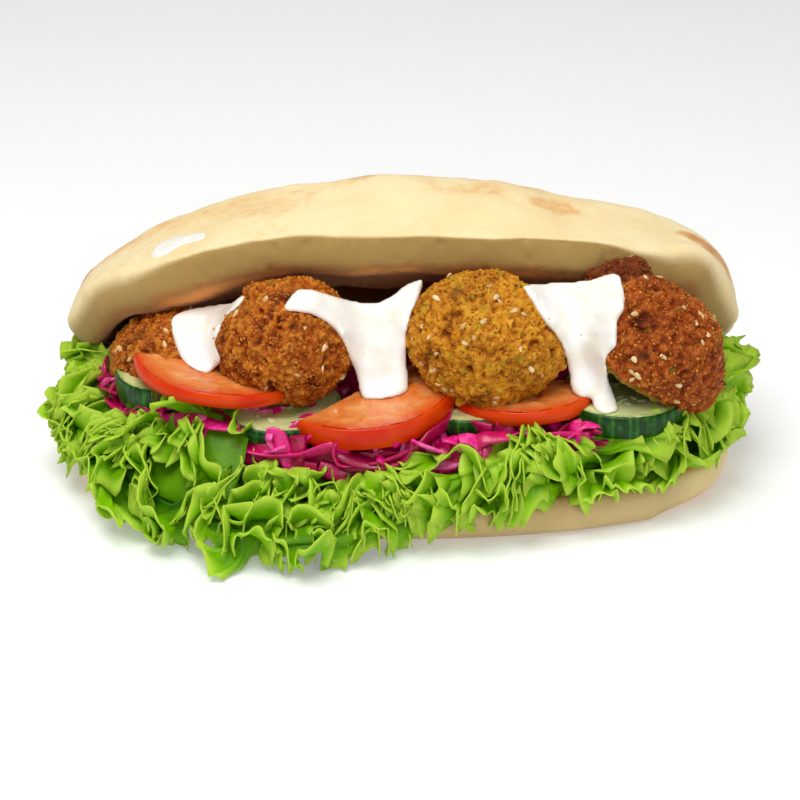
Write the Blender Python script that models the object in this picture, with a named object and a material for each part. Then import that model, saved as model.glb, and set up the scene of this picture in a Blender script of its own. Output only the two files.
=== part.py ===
"""A falafel pita: an oval flatbread cut open along its front, filled with curly lettuce, shredded
red cabbage, cucumber and tomato slices, four falafels and three pours of white sauce.

Frame: +Z up, the mouth of the pita faces -Y, the origin is the middle of the bread's flat underside.
Lengths are in millimetres and become metres when a mesh is made.
"""

import math

import bmesh
import bpy
import numpy as np
from mathutils import Matrix, Vector, noise

MM = 0.001
GAP = 0.45

# Bread: the middle of its wall, which is one folded oval sheet.
BREAD_WALL = 13.6
FLAP_END_WALL = 16.0
BASE_HALF_LENGTH = 98.0
BASE_HALF_DEPTH = 48.5
BASE_BACK_SHIFT = -3.0
BASE_HEIGHT = BREAD_WALL / 2
FLAP_HALF_LENGTH = 101.0
FLAP_HALF_DEPTH = 28.0
FLAP_BACK_SHIFT = 16.0
FLAP_HEIGHT = 82.0
FLAP_END_DROP = 43.0
FLAP_BACK_FALL = 26.0
FLAP_END_TUCK = 26.0
FOLD_END_PINCH = 0.5
FRONT_FULLNESS = 0.42
BACK_FULLNESS = 0.2
BREAD_COLUMNS = 19
BREAD_ROWS = 23
BREAD_LIP_STEPS = 3
FLAT_BELOW = 0.6

# Lettuce and cabbage lie on the base.
BED_TOP = BREAD_WALL + 0.9
LETTUCE_WALL = 4.4
CABBAGE_HEIGHT = 25.6
CABBAGE_WALL = 10.5
CABBAGE_HALF_LENGTH = 94.0
CABBAGE_HALF_DEPTH = 50.0

COLORS = {
    "crust": ((0.83, 0.66, 0.38), 0.75),
    "falafel": ((0.36, 0.14, 0.03), 0.85),
    "tomato": ((0.72, 0.08, 0.02), 0.25),
    "cucumber": ((0.12, 0.28, 0.05), 0.35),
    "cabbage": ((0.45, 0.01, 0.13), 0.4),
    "lettuce": ((0.28, 0.48, 0.05), 0.5),
    "sauce": ((0.88, 0.87, 0.80), 0.3),
}


def clear_scene():
    """Removes every object of the open file."""
    for obj in list(bpy.data.objects):
        bpy.data.objects.remove(obj, do_unlink=True)


def material(slot):
    """Returns the Principled material of a slot, made once."""
    found = bpy.data.materials.get(slot)
    if found:
        return found
    made = bpy.data.materials.new(slot)
    made.use_nodes = True
    shader = made.node_tree.nodes["Principled BSDF"]
    color, roughness = COLORS[slot]
    shader.inputs["Base Color"].default_value = (*color, 1.0)
    shader.inputs["Roughness"].default_value = roughness
    shader.inputs["Metallic"].default_value = 0.0
    return made


def add_object(name, mesh, slot):
    """Links a mesh as a smooth object with the slot's material."""
    mesh.materials.clear()
    mesh.materials.append(material(slot))
    mesh.shade_smooth()
    obj = bpy.data.objects.new(name, mesh)
    bpy.context.scene.collection.objects.link(obj)
    return obj


def mesh_from(name, points, faces):
    """A mesh from points in millimetres and faces, with its normals facing out."""
    mesh = bpy.data.meshes.new(name)
    mesh.from_pydata([tuple(p * MM for p in point) for point in points], [], faces)
    outward(mesh)
    return mesh


def outward(mesh):
    """Splits a closed mesh into triangles that all face outwards."""
    bm = bmesh.new()
    bm.from_mesh(mesh)
    bmesh.ops.triangulate(bm, faces=bm.faces)
    bmesh.ops.recalc_face_normals(bm, faces=bm.faces)
    if bm.calc_volume(signed=True) < 0:
        bmesh.ops.reverse_faces(bm, faces=bm.faces)
    bm.to_mesh(mesh)
    bm.free()


def wander(point, scale, seed):
    """Smooth noise of about -1 to 1 that changes over `scale` millimetres."""
    x, y, z = point
    return noise.noise(Vector((x / scale + 7.3 * seed, y / scale - 3.1 * seed, z / scale)))


def smooth_curve(points, count):
    """`count` points evenly along a Catmull-Rom curve through the given points."""
    ends = [2 * points[0] - points[1], *points, 2 * points[-1] - points[-2]]
    fine = []
    for a, b, c, d in zip(ends, ends[1:], ends[2:], ends[3:]):
        for t in np.linspace(0, 1, 12, endpoint=False):
            fine.append(
                0.5 * (2 * b + (c - a) * t + (2 * a - 5 * b + 4 * c - d) * t**2
                       + (3 * b - a - 3 * c + d) * t**3)
            )
    fine.append(points[-1])
    fine = np.array(fine)
    travelled = np.concatenate([[0], np.cumsum(np.linalg.norm(np.diff(fine, axis=0), axis=1))])
    wanted = np.linspace(0, travelled[-1], count)
    return np.stack([np.interp(wanted, travelled, fine[:, axis]) for axis in range(3)], axis=1)


def border(columns, rows):
    """The grid's border as one closed loop of (column, row)."""
    front = [(i, 0) for i in range(columns)]
    right = [(columns - 1, j) for j in range(1, rows)]
    back = [(i, rows - 1) for i in range(columns - 2, -1, -1)]
    left = [(0, j) for j in range(rows - 2, 0, -1)]
    return front + right + back + left


def thick_sheet(name, sheet, walls, lip_steps, flat_below=None):
    """A closed mesh round a curved sheet.

    sheet is a (columns, rows, 3) grid of the middle of the wall, walls the wall's thickness at each of
    its points, and the border gets a round lip of lip_steps strips. Points under flat_below go to 0.
    """
    columns, rows = walls.shape
    across = np.gradient(sheet, axis=0)
    along = np.gradient(sheet, axis=1)
    normals = np.cross(across, along)
    normals /= np.linalg.norm(normals, axis=2, keepdims=True)
    half = walls[..., None] / 2
    grid = columns * rows
    points = list((sheet + normals * half).reshape(-1, 3))
    points += list((sheet - normals * half).reshape(-1, 3))

    def index(cell, side):
        return side * grid + cell[0] * rows + cell[1]

    faces = []
    for i in range(columns - 1):
        for j in range(rows - 1):
            cell = [(i, j), (i + 1, j), (i + 1, j + 1), (i, j + 1)]
            faces.append([index(c, 0) for c in cell])
            faces.append([index(c, 1) for c in reversed(cell)])
    loop = border(columns, rows)
    rings = [[index(c, 0) for c in loop]]
    inside = sheet[1:-1, 1:-1].reshape(-1, 3)
    for step in range(1, lip_steps):
        angle = math.pi * step / lip_steps
        ring = []
        for k, cell in enumerate(loop):
            here = sheet[cell]
            ahead = sheet[loop[(k + 1) % len(loop)]]
            behind = sheet[loop[k - 1]]
            out = np.cross(ahead - behind, normals[cell])
            out /= np.linalg.norm(out)
            nearest = inside[np.argmin(np.linalg.norm(inside - here, axis=1))]
            if np.dot(out, here - nearest) < 0:
                out = -out
            reach = walls[cell] / 2
            ring.append(len(points))
            points.append(
                here + normals[cell] * reach * math.cos(angle) + out * reach * math.sin(angle)
            )
        rings.append(ring)
    rings.append([index(c, 1) for c in loop])
    if flat_below is not None:
        points = [(p[0], p[1], 0.0 if p[2] < flat_below else p[2]) for p in points]
    for near, far in zip(rings, rings[1:]):
        for k in range(len(loop)):
            after = (k + 1) % len(loop)
            faces.append([near[k], far[k], far[after], near[after]])
    return mesh_from(name, points, faces)


def oval(u, w, half_length, half_depth, shift):
    """Maps the square -1..1 by -1..1 to an oval with a boxier back; w is 1 at the front."""
    square = FRONT_FULLNESS if w > 0 else BACK_FULLNESS
    x = half_length * u * math.sqrt(1 - square * w * w)
    y = shift - half_depth * w * math.sqrt(1 - square * u * u)
    return x, y


def base_point(u, w):
    """A point of the base's middle sheet."""
    x, y = oval(u, w, BASE_HALF_LENGTH, BASE_HALF_DEPTH, BASE_BACK_SHIFT)
    return np.array([x, y, BASE_HEIGHT])


def flap_point(u, w):
    """A point of the flap's middle sheet: an arch that drops at both ends and at the back."""
    x, y = oval(u, w, FLAP_HALF_LENGTH, FLAP_HALF_DEPTH, FLAP_BACK_SHIFT)
    side = x / FLAP_HALF_LENGTH
    share = abs(side)
    bow = 0.57 - 0.13 * side
    arch = bow * share**2 + (1 - bow) * share**24
    back = max(0.0, -w) ** 2.2
    front = max(0.0, w) ** 2 * (1 - share)
    tuck = abs(u) ** 6 * max(0.0, -w) ** 1.2
    z = FLAP_HEIGHT - FLAP_END_DROP * arch - FLAP_BACK_FALL * back * (1 - 0.6 * share**2) - 3.5 * front
    return np.array([x, y, z - FLAP_END_TUCK * tuck + 1.6 * wander((x, y, 0), 24, 1)])


def fold_point(u, out, height):
    """A point of the fold at the back, `out` beyond the base's back edge; it is lower at its ends."""
    x, y = oval(u, -1, BASE_HALF_LENGTH, BASE_HALF_DEPTH, BASE_BACK_SHIFT)
    side = np.array([x / BASE_HALF_LENGTH**2, (y - BASE_BACK_SHIFT) / BASE_HALF_DEPTH**2])
    side /= np.linalg.norm(side)
    pinch = 1 - FOLD_END_PINCH * abs(u) ** 6
    return np.array([x + side[0] * out, y + side[1] * out, BASE_HEIGHT + (height - BASE_HEIGHT) * pinch])


def bread_sheet():
    """The middle of the bread's wall: base, fold and flap in one grid."""
    columns = []
    for u in np.linspace(-1, 1, BREAD_COLUMNS):
        route = [base_point(u, w) for w in (1, 0.55, 0.05, -0.45, -0.8)]
        route += [fold_point(u, 1.5, 12.5), fold_point(u, 5.5, 26), fold_point(u, 4.5, 42 - 6 * u * u)]
        route += [flap_point(u, w) for w in (-0.9, -0.55, -0.15, 0.3, 0.7, 1)]
        columns.append(smooth_curve(route, BREAD_ROWS))
    return np.array(columns)


def build_bread():
    """The bread: one folded oval with round lips."""
    sheet = bread_sheet()
    share = np.clip(np.abs(sheet[..., 0]) / FLAP_HALF_LENGTH, 0, 1)
    on_flap = np.clip((sheet[..., 2] - BASE_HEIGHT) / 30, 0, 1)
    walls = BREAD_WALL + (FLAP_END_WALL - BREAD_WALL) * share**3 * on_flap
    return add_object("bread", thick_sheet("bread", sheet, walls, BREAD_LIP_STEPS, FLAT_BELOW), "crust")


FALAFELS = {
    "falafel_left": {"at": (-71, -8, 37.5), "radii": (21, 18, 17), "turn": 0},
    "falafel_mid_left": {"at": (-35, -24, 51.7), "radii": (21.5, 19, 20), "turn": -12},
    "falafel_mid_right": {"at": (25.5, -26, 53), "radii": (25, 20, 21), "turn": 8},
    "falafel_right": {"at": (76, -24, 50.5), "radii": (25.5, 21, 19), "turn": 36, "flat": -9.5},
}


def build_falafel(name, at, radii, turn, flat=None):
    """A lumpy ball, or where `flat` is given one whose underside is cut flat that far below its middle."""
    bm = bmesh.new()
    bmesh.ops.create_uvsphere(bm, u_segments=18, v_segments=11, radius=1)
    for vertex in bm.verts:
        vertex.co = Vector(c * r for c, r in zip(vertex.co, radii))
    if flat is not None:
        geometry = bm.verts[:] + bm.edges[:] + bm.faces[:]
        bmesh.ops.bisect_plane(
            bm, geom=geometry, plane_co=(0, 0, flat), plane_no=(0, 0, -1), clear_outer=True
        )
        bmesh.ops.holes_fill(bm, edges=[e for e in bm.edges if e.is_boundary])
        bmesh.ops.triangulate(bm, faces=bm.faces)
    seed = sum(map(ord, name)) % 17
    for vertex in bm.verts:
        lump = 1 + 0.09 * wander(vertex.co, 13, seed) + 0.03 * wander(vertex.co, 6, seed + 1)
        vertex.co *= lump
    bmesh.ops.transform(bm, matrix=Matrix.Rotation(math.radians(turn), 4, "Y"), verts=bm.verts)
    bmesh.ops.translate(bm, vec=Vector(at), verts=bm.verts)
    bmesh.ops.scale(bm, vec=(MM, MM, MM), verts=bm.verts)
    mesh = bpy.data.meshes.new(name)
    bm.to_mesh(mesh)
    bm.free()
    outward(mesh)
    return add_object(name, mesh, "falafel")


# Slices: `chord` is the direction, in degrees from +X, in which the straight cut of a half slice runs.
SLICES = {
    "tomato_left": {"at": (-54, -20, 42), "radius": 28, "thick": 6.5, "chord": 8, "roll": 11, "pitch": 0},
    "tomato_mid": {"at": (-10.5, -28, 35), "radius": 27, "thick": 8, "chord": 40, "roll": -6, "pitch": 3},
    "tomato_right": {"at": (37, -24, 36), "radius": 23, "thick": 6, "chord": -5, "roll": -4, "pitch": 0},
    "cucumber_left": {"at": (-66, -14.5, 36), "radius": 20, "thick": 8.5, "chord": 250, "roll": -2, "pitch": 0},
    "cucumber_mid_left": {"at": (-38, -28, 31.2), "radius": 20, "thick": 5, "chord": None, "roll": 0, "pitch": 2},
    "cucumber_mid_right": {"at": (22, -28, 32), "radius": 17, "thick": 5, "chord": None, "roll": -3, "pitch": 0},
    "cucumber_right": {"at": (68.5, -26, 33.5), "radius": 20, "thick": 7.5, "chord": None, "roll": -2, "pitch": 2},
}
SLICE_ARC_STEPS = 22
SLICE_LAYERS = ((-1.0, 0.93), (-0.6, 0.985), (0.0, 1.0), (0.6, 0.985), (1.0, 0.93))


def slice_outline(radius, chord):
    """The outline of a round slice, or of a half slice whose arc lies clockwise of the chord."""
    if chord is None:
        angles = [2 * math.pi * k / SLICE_ARC_STEPS for k in range(SLICE_ARC_STEPS)]
    else:
        start = math.radians(chord - 180)
        angles = [start + math.pi * k / (SLICE_ARC_STEPS - 6) for k in range(SLICE_ARC_STEPS - 5)]
    return [(radius * math.cos(a), radius * math.sin(a)) for a in angles]


def build_slice(name, at, radius, thick, chord, roll, pitch):
    """A slice with a bulging skin; roll tips its right side down and pitch its front."""
    outline = slice_outline(radius, chord)
    turn = Matrix.Rotation(math.radians(roll), 3, "Y") @ Matrix.Rotation(math.radians(pitch), 3, "X")
    points = []
    for height, reach in SLICE_LAYERS:
        for x, y in outline:
            waver = 1 + 0.02 * wander((x, y, 0), 15, len(name))
            local = Vector((x * reach * waver, y * reach * waver, height * thick / 2))
            points.append(np.array(turn @ local) + np.array(at))
    count = len(outline)
    faces = [list(range(count))[::-1], [4 * count + k for k in range(count)]]
    for layer in range(len(SLICE_LAYERS) - 1):
        for k in range(count):
            after = (k + 1) % count
            low, high = layer * count, (layer + 1) * count
            faces.append([low + k, low + after, high + after, high + k])
    return add_object(name, mesh_from(name, points, faces), name.split("_")[0])


# Pours of sauce: strokes of (x, y, z, half width, half depth), from the flap down to the salad.
POURS = {
    "sauce_left": [
        [(-48, -24, 67.5, 1.8, 2.5), (-54, -20, 61.5, 3.2, 5), (-63, -15, 54.5, 7, 6), (-64.5, -17.5, 50, 7.6, 6),
         (-62.5, -25, 48, 6.6, 4.5), (-60.5, -32, 47.5, 4.6, 3.5)],
    ],
    "sauce_mid": [
        [(-31, -31, 68.5, 2.8, 3), (-23, -28, 67, 4, 5), (-14, -26, 64.5, 6, 7), (-6.5, -28, 60.5, 8, 9),
         (-6, -31, 54.5, 8.3, 9), (-5.7, -34, 48, 7.8, 8), (-5.2, -37, 42.5, 6.4, 5)],
        [(6, -22, 72, 1.8, 3), (2, -25, 69, 3.5, 5), (-2, -27, 65.5, 6, 7)],
    ],
    "sauce_right": [
        [(38, -32, 70.5, 2.5, 3), (45, -28, 68, 5, 5), (52, -26, 66, 7, 7), (59, -28, 67, 5.5, 5),
         (63, -26, 70.5, 2.6, 3)],
        [(52, -27, 65.5, 7, 7), (55, -30, 59.5, 7.6, 7), (56.5, -33, 53, 6.6, 6), (57.2, -36, 47, 6.4, 5.5),
         (59, -38, 41, 5, 4.5), (60.5, -39, 38.6, 3, 3)],
    ],
}
POUR_VOXEL = 1.3
POUR_KEEP = 0.15


def build_pour(name, strokes):
    """A pour: overlapping flattened balls along its strokes, melted into one body."""
    bm = bmesh.new()
    for stroke in strokes:
        for near, far in zip(stroke, stroke[1:]):
            for t in np.linspace(0, 1, 5):
                x, y, z, wide, deep = (1 - t) * np.array(near) + t * np.array(far)
                made = bmesh.ops.create_uvsphere(bm, u_segments=14, v_segments=9, radius=1)
                shape = Matrix.Translation((x, y, z)) @ Matrix.Diagonal((wide, deep, wide, 1))
                bmesh.ops.transform(bm, matrix=Matrix.Scale(MM, 4) @ shape, verts=made["verts"])
    mesh = bpy.data.meshes.new(name)
    bm.to_mesh(mesh)
    bm.free()
    obj = add_object(name, mesh, "sauce")
    melt = obj.modifiers.new("melt", "REMESH")
    melt.mode = "VOXEL"
    melt.voxel_size = POUR_VOXEL * MM
    calm = obj.modifiers.new("calm", "SMOOTH")
    calm.factor = 0.5
    calm.iterations = 6
    bake_modifiers(obj)
    return obj


def thin_pour(obj):
    """Rounds a cut pour's edges, draws its skin in a little and drops most of its faces."""
    melt = obj.modifiers.new("melt", "REMESH")
    melt.mode = "VOXEL"
    melt.voxel_size = POUR_VOXEL * MM
    calm = obj.modifiers.new("calm", "SMOOTH")
    calm.factor = 0.5
    calm.iterations = 2
    pull = obj.modifiers.new("pull", "DISPLACE")
    pull.mid_level = 0
    pull.strength = -0.4 * MM
    thin = obj.modifiers.new("thin", "DECIMATE")
    thin.ratio = POUR_KEEP
    bake_modifiers(obj)
    keep_largest(obj.data)


def build_cabbage():
    """The cabbage: one uneven bed that fills the mouth and reaches back into the pocket."""
    columns, rows = 21, 8
    top, bottom = [], []
    for u in np.linspace(-1, 1, columns):
        for w in np.linspace(1, -0.75, rows):
            x, y = oval(u, w, CABBAGE_HALF_LENGTH, CABBAGE_HALF_DEPTH, BASE_BACK_SHIFT)
            y += 2.5 * max(0.0, w) ** 4 * wander((x, 0, 0), 16, 5)
            edge = max(abs(u), abs(w))
            half = (CABBAGE_WALL / 2 + 0.7 * wander((x, y, 0), 12, 7)) * (1 - 0.35 * edge**8)
            middle = CABBAGE_HEIGHT + 1.2 * wander((x, y, 0), 18, 6)
            top.append((x, y, middle + half))
            bottom.append((x, y, middle - half))
    grid = columns * rows
    faces = []
    for i in range(columns - 1):
        for j in range(rows - 1):
            cell = [i * rows + j, (i + 1) * rows + j, (i + 1) * rows + j + 1, i * rows + j + 1]
            faces.append(cell)
            faces.append([grid + k for k in reversed(cell)])
    loop = [i * rows + j for i, j in border(columns, rows)]
    for here, after in zip(loop, loop[1:] + loop[:1]):
        faces.append([here, grid + here, grid + after, after])
    return add_object("red_cabbage", mesh_from("red_cabbage", top + bottom, faces), "cabbage")


# Lettuce leaves. Each row is one station round the base's oval, where 270 degrees is the front:
# (degrees, how far beyond the rim the frill's crest lies, its height, how far its foot lies, its height,
# the frill's thickness).
LEAVES = {
    "lettuce_left": [
        (150, 1, 26, 3, 21, 17), (170, 2, 28, 4, 23, 19), (190, 3, 20, 5, 17, 18), (205, 2, 19, 6, 14, 17),
        (222, 0, 27, 15, 13, 17), (239, -1, 25, 21, 11, 15),
    ],
    "lettuce_front": [(240.5, 1, 15, 23, 10, 14), (252, 2, 14, 27, 9, 13), (262, 2, 14, 21, 9, 13),
                      (268, 1, 14, 13, 10, 13)],
    "lettuce_right": [
        (269.5, 0, 20, 7, 13, 14), (280, 0, 24, 7, 12, 15), (295, 0, 26, 6, 13, 16), (305, 0, 18, 3, 14, 13),
        (318, 0, 26, 5, 16, 17), (335, 0, 30, 4, 20, 19), (352, 1, 32, 5, 22, 19), (370, 1, 34, 5, 26, 19),
        (384, 1, 29, 3, 24, 17),
    ],
}
LEAF_HEART = -21.0
LEAF_BLADE_END = -13.0
LEAF_COLUMN_DEGREES = 7.5


def rim_point(degrees, out):
    """A point of the base's oval at an angle round it, `out` beyond its rim, and its height is 0."""
    angle = math.radians(degrees)
    x, y = BASE_HALF_LENGTH * math.cos(angle), BASE_HALF_DEPTH * math.sin(angle)
    side = np.array([x / BASE_HALF_LENGTH**2, y / BASE_HALF_DEPTH**2, 0.0])
    side /= np.linalg.norm(side)
    return np.array([x, y + BASE_BACK_SHIFT, 0.0]) + side * out


def leaf_profile(crest_out, crest_z, foot_out, foot_z, puff):
    """A leaf's cross-section as (beyond the rim, height): a blade on the base and a frill over its rim."""
    reach = puff / 2
    return [
        (LEAF_HEART, BED_TOP),
        (LEAF_BLADE_END, BED_TOP),
        (foot_out - 0.7 * reach, foot_z - 0.7 * reach),
        (foot_out, foot_z - reach),
        (foot_out + 0.7 * reach, foot_z - 0.7 * reach),
        (foot_out + reach, foot_z),
        (foot_out + 0.7 * reach, foot_z + 0.7 * reach),
        (crest_out + 0.7 * reach, crest_z + 0.7 * reach),
        (crest_out, crest_z + reach),
        (crest_out - 0.7 * reach, crest_z + 0.7 * reach),
        (LEAF_BLADE_END, BED_TOP + LETTUCE_WALL),
        (LEAF_HEART, BED_TOP + LETTUCE_WALL),
    ]


def build_leaf(name, stations):
    """A leaf: its cross-section carried round the base's rim from station to station."""
    table = np.array(stations, dtype=float)
    start, end = table[0, 0], table[-1, 0]
    columns = max(6, round((end - start) / LEAF_COLUMN_DEGREES))
    seed = len(name)
    points = []
    for degrees in np.linspace(start, end, columns):
        shape = [np.interp(degrees, table[:, 0], table[:, k]) for k in range(1, 6)]
        shape[2] += 2.5 * wander((degrees, 0, 0), 13, seed)
        for out, height in leaf_profile(*shape):
            x, y, _ = rim_point(degrees, out)
            points.append((x, y, height))
    around = len(points) // columns
    faces = [list(range(around)), [(columns - 1) * around + k for k in range(around)][::-1]]
    for i in range(columns - 1):
        for k in range(around):
            after = (k + 1) % around
            near, far = i * around, (i + 1) * around
            faces.append([near + k, far + k, far + after, near + after])
    return add_object(name, mesh_from(name, points, faces), "lettuce")


def bake_modifiers(obj):
    """Replaces an object's mesh by its evaluated one and drops the modifiers."""
    bpy.context.view_layer.update()
    evaluated = obj.evaluated_get(bpy.context.evaluated_depsgraph_get())
    mesh = bpy.data.meshes.new_from_object(evaluated)
    obj.modifiers.clear()
    obj.data = mesh
    mesh.shade_smooth()


def keep_largest(mesh):
    """Deletes all but the largest connected piece of a mesh."""
    bm = bmesh.new()
    bm.from_mesh(mesh)
    bmesh.ops.remove_doubles(bm, verts=bm.verts, dist=0.01 * MM)
    left = set(bm.verts)
    pieces = []
    while left:
        piece, edge_of = set(), [left.pop()]
        while edge_of:
            vertex = edge_of.pop()
            piece.add(vertex)
            for edge in vertex.link_edges:
                other = edge.other_vert(vertex)
                if other in left:
                    left.discard(other)
                    edge_of.append(other)
        pieces.append(piece)
    pieces.sort(key=len)
    for piece in pieces[:-1]:
        bmesh.ops.delete(bm, geom=list(piece), context="VERTS")
    bm.to_mesh(mesh)
    bm.free()


def mould_of(obj):
    """A hidden copy of an object's mesh, grown by GAP, that later pieces are cut clear of."""
    grown = obj.data.copy()
    normals = [v.normal.copy() for v in grown.vertices]
    for vertex, normal in zip(grown.vertices, normals):
        vertex.co += normal * GAP * MM
    mould = bpy.data.objects.new("mould", grown)
    mould.hide_render = True
    mould.display_type = "WIRE"
    bpy.context.scene.collection.objects.link(mould)
    return mould


def near(obj, other):
    """Whether the boxes of two objects come within a millimetre of each other."""
    for axis in range(3):
        one = [v.co[axis] for v in obj.data.vertices]
        two = [v.co[axis] for v in other.data.vertices]
        if min(one) > max(two) + MM or min(two) > max(one) + MM:
            return False
    return True


def fit(obj, moulds):
    """Cuts an object clear of the moulds, keeps its largest piece, and adds its own mould to them."""
    own = mould_of(obj)
    for mould in moulds:
        if near(obj, mould):
            cut = obj.modifiers.new("clear", "BOOLEAN")
            cut.operation = "DIFFERENCE"
            cut.object = mould
            bake_modifiers(obj)
    keep_largest(obj.data)
    moulds.append(own)


def main():
    """Builds every piece, the firm ones first, and cuts the softer ones clear of them."""
    clear_scene()
    moulds = []
    fit(build_bread(), moulds)
    for name, shape in FALAFELS.items():
        fit(build_falafel(name, **shape), moulds)
    for name, shape in SLICES.items():
        fit(build_slice(name, **shape), moulds)
    for name, strokes in POURS.items():
        pour = build_pour(name, strokes)
        fit(pour, moulds)
        thin_pour(pour)
    fit(build_cabbage(), moulds)
    for name, stations in LEAVES.items():
        fit(build_leaf(name, stations), moulds)
    for mould in moulds:
        bpy.data.objects.remove(mould, do_unlink=True)


main()
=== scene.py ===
"""The finished look of a falafel pita: an oval flatbread with curly lettuce, shredded red cabbage,
cucumber and tomato slices, four falafels and white sauce.

Frame: +Z up, the mouth faces -Y, the origin is the middle of the bread's flat underside. Points are held
in millimetres and become metres when a mesh is made.
"""

import logging
import math
from dataclasses import dataclass, field
from enum import Enum
from typing import Any, Iterable, Sequence

import bmesh
import bpy
import numpy as np
from mathutils import Matrix, Vector, noise


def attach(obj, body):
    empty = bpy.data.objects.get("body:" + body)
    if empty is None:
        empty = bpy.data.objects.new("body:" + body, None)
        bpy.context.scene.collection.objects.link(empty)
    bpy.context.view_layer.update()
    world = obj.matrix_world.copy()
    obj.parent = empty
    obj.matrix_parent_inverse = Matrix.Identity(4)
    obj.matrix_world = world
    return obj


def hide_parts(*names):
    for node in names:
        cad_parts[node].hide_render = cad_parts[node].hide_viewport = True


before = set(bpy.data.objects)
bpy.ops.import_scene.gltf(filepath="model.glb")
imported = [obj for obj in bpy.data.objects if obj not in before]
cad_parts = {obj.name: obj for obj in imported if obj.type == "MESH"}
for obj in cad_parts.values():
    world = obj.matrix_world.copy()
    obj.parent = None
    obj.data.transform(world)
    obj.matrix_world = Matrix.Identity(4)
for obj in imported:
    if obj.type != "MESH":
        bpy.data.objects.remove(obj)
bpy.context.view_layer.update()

MM = 0.001
# Random values that a line of noise runs through before it starts again.
KNOTS = 4096
# The base's oval in millimetres: half length, half depth, shift along Y.
BASE_OVAL = (98.0, 48.5, -3.0)
# How round the front and the back of the bread's oval are: 0 gives a box and 0.5 an ellipse.
FRONT_ROUND, BACK_ROUND = 0.42, 0.2
Array = np.ndarray
Material = bpy.types.Material
Object = bpy.types.Object
Mesh = bpy.types.Mesh
Node = bpy.types.Node
Tree = bpy.types.NodeTree
log = logging.getLogger("falafel_pita")


# ---------------------------------------------------------------- colours, nodes and noise


def linear(code: str) -> tuple[float, float, float, float]:
    """Turns an sRGB hex value into a linear colour.

    Args:
        code: six hex digits, with or without a leading hash sign.

    Returns:
        Red, green, blue and an alpha of 1.
    """
    digits = code.lstrip("#")
    parts = [int(digits[k : k + 2], 16) / 255 for k in (0, 2, 4)]
    red, green, blue = (p / 12.92 if p <= 0.04045 else ((p + 0.055) / 1.055) ** 2.4 for p in parts)
    return red, green, blue, 1.0


def add_node(
    tree: Tree,
    kind: str,
    settings: dict[str, Any] | None = None,
    values: dict[str | int, Any] | None = None,
    links: dict[str | int, Any] | None = None,
) -> Node:
    """Adds one node to a tree.

    Args:
        tree: the shader or geometry tree.
        kind: the node's type name.
        settings: properties of the node.
        values: values of its unlinked input sockets, by name or number.
        links: output sockets that feed its input sockets, by name or number.

    Returns:
        The new node.
    """
    node = tree.nodes.new(kind)
    for name, value in (settings or {}).items():
        setattr(node, name, value)
    for name, value in (values or {}).items():
        node.inputs[name].default_value = value
    for name, socket in (links or {}).items():
        tree.links.new(socket, node.inputs[name])
    return node


class Grain:
    """Seeded lattice noise for whole arrays of points in millimetres."""

    def __init__(self, seed: int) -> None:
        """Keeps the seed."""
        self.seed = seed

    def chance(self, cells: Array, salt: int = 0) -> Array:
        """A fixed random number from 0 to 1 for each whole-numbered cell.

        Args:
            cells: whole numbers, (..., 3).
            salt: gives another, unrelated number for the same cells.

        Returns:
            Numbers from 0 to 1, shaped as the cells without their last axis.
        """
        # Large odd factors mix the cell's three numbers, the seed and the salt into 32 bits.
        c = cells.astype(np.int64)
        mixed = c[..., 0] * 73856093 ^ c[..., 1] * 19349663 ^ c[..., 2] * 83492791
        mixed = (mixed ^ (self.seed * 2654435761 + salt * 97531)) & 0xFFFFFFFF
        mixed = ((mixed ^ (mixed >> 15)) * 2246822519) & 0xFFFFFFFF
        mixed = ((mixed ^ (mixed >> 13)) * 3266489917) & 0xFFFFFFFF
        return ((mixed ^ (mixed >> 16)) & 0xFFFFFF) / float(0xFFFFFF)

    def smooth(self, points: Array, scale: float) -> Array:
        """Smooth noise of -1 to 1.

        Args:
            points: (..., 3) in millimetres.
            scale: size of one cell in millimetres.

        Returns:
            One number a point.
        """
        where = points / scale
        low = np.floor(where)
        part = ease(where - low)
        total = np.zeros(where.shape[:-1])
        for corner in range(8):
            step = np.array([corner & 1, corner >> 1 & 1, corner >> 2 & 1])
            share = np.prod(np.where(step, part, 1 - part), axis=-1)
            total += share * self.chance(low + step)
        return 2 * total - 1

    def layered(self, points: Array, scale: float, layers: int = 3) -> Array:
        """Noise with finer detail added, each layer half the size and half the strength."""
        return sum(Grain(self.seed + 31 * k).smooth(points, scale / 2**k) / 2**k for k in range(layers))

    def lumps(self, points: Array, scale: float) -> tuple[Array, Array]:
        """Round lumps at random places.

        Args:
            points: (n, 3) in millimetres.
            scale: the usual distance between two lumps.

        Returns:
            The distance to the nearest lump's middle, in units of scale, and that lump's random number.
        """
        where = points / scale
        low = np.floor(where)
        best = np.full(len(points), 9.0)
        which = np.zeros(len(points))
        for step in np.ndindex(3, 3, 3):
            cell = low + np.array(step) - 1
            middle = cell + np.stack([self.chance(cell, salt) for salt in (1, 2, 3)], axis=-1)
            far = np.linalg.norm(where - middle, axis=-1)
            closer = far < best
            best = np.where(closer, far, best)
            which = np.where(closer, self.chance(cell, 4), which)
        return best, which


def ease(part: Array) -> Array:
    """Eases a share of 0 to 1 in and out."""
    return part * part * (3 - 2 * part)


def ramp(values: Array, low: float, high: float) -> Array:
    """0 below `low`, 1 above `high`, and a smooth rise between them."""
    return ease(np.clip((values - low) / (high - low), 0, 1))


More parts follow.
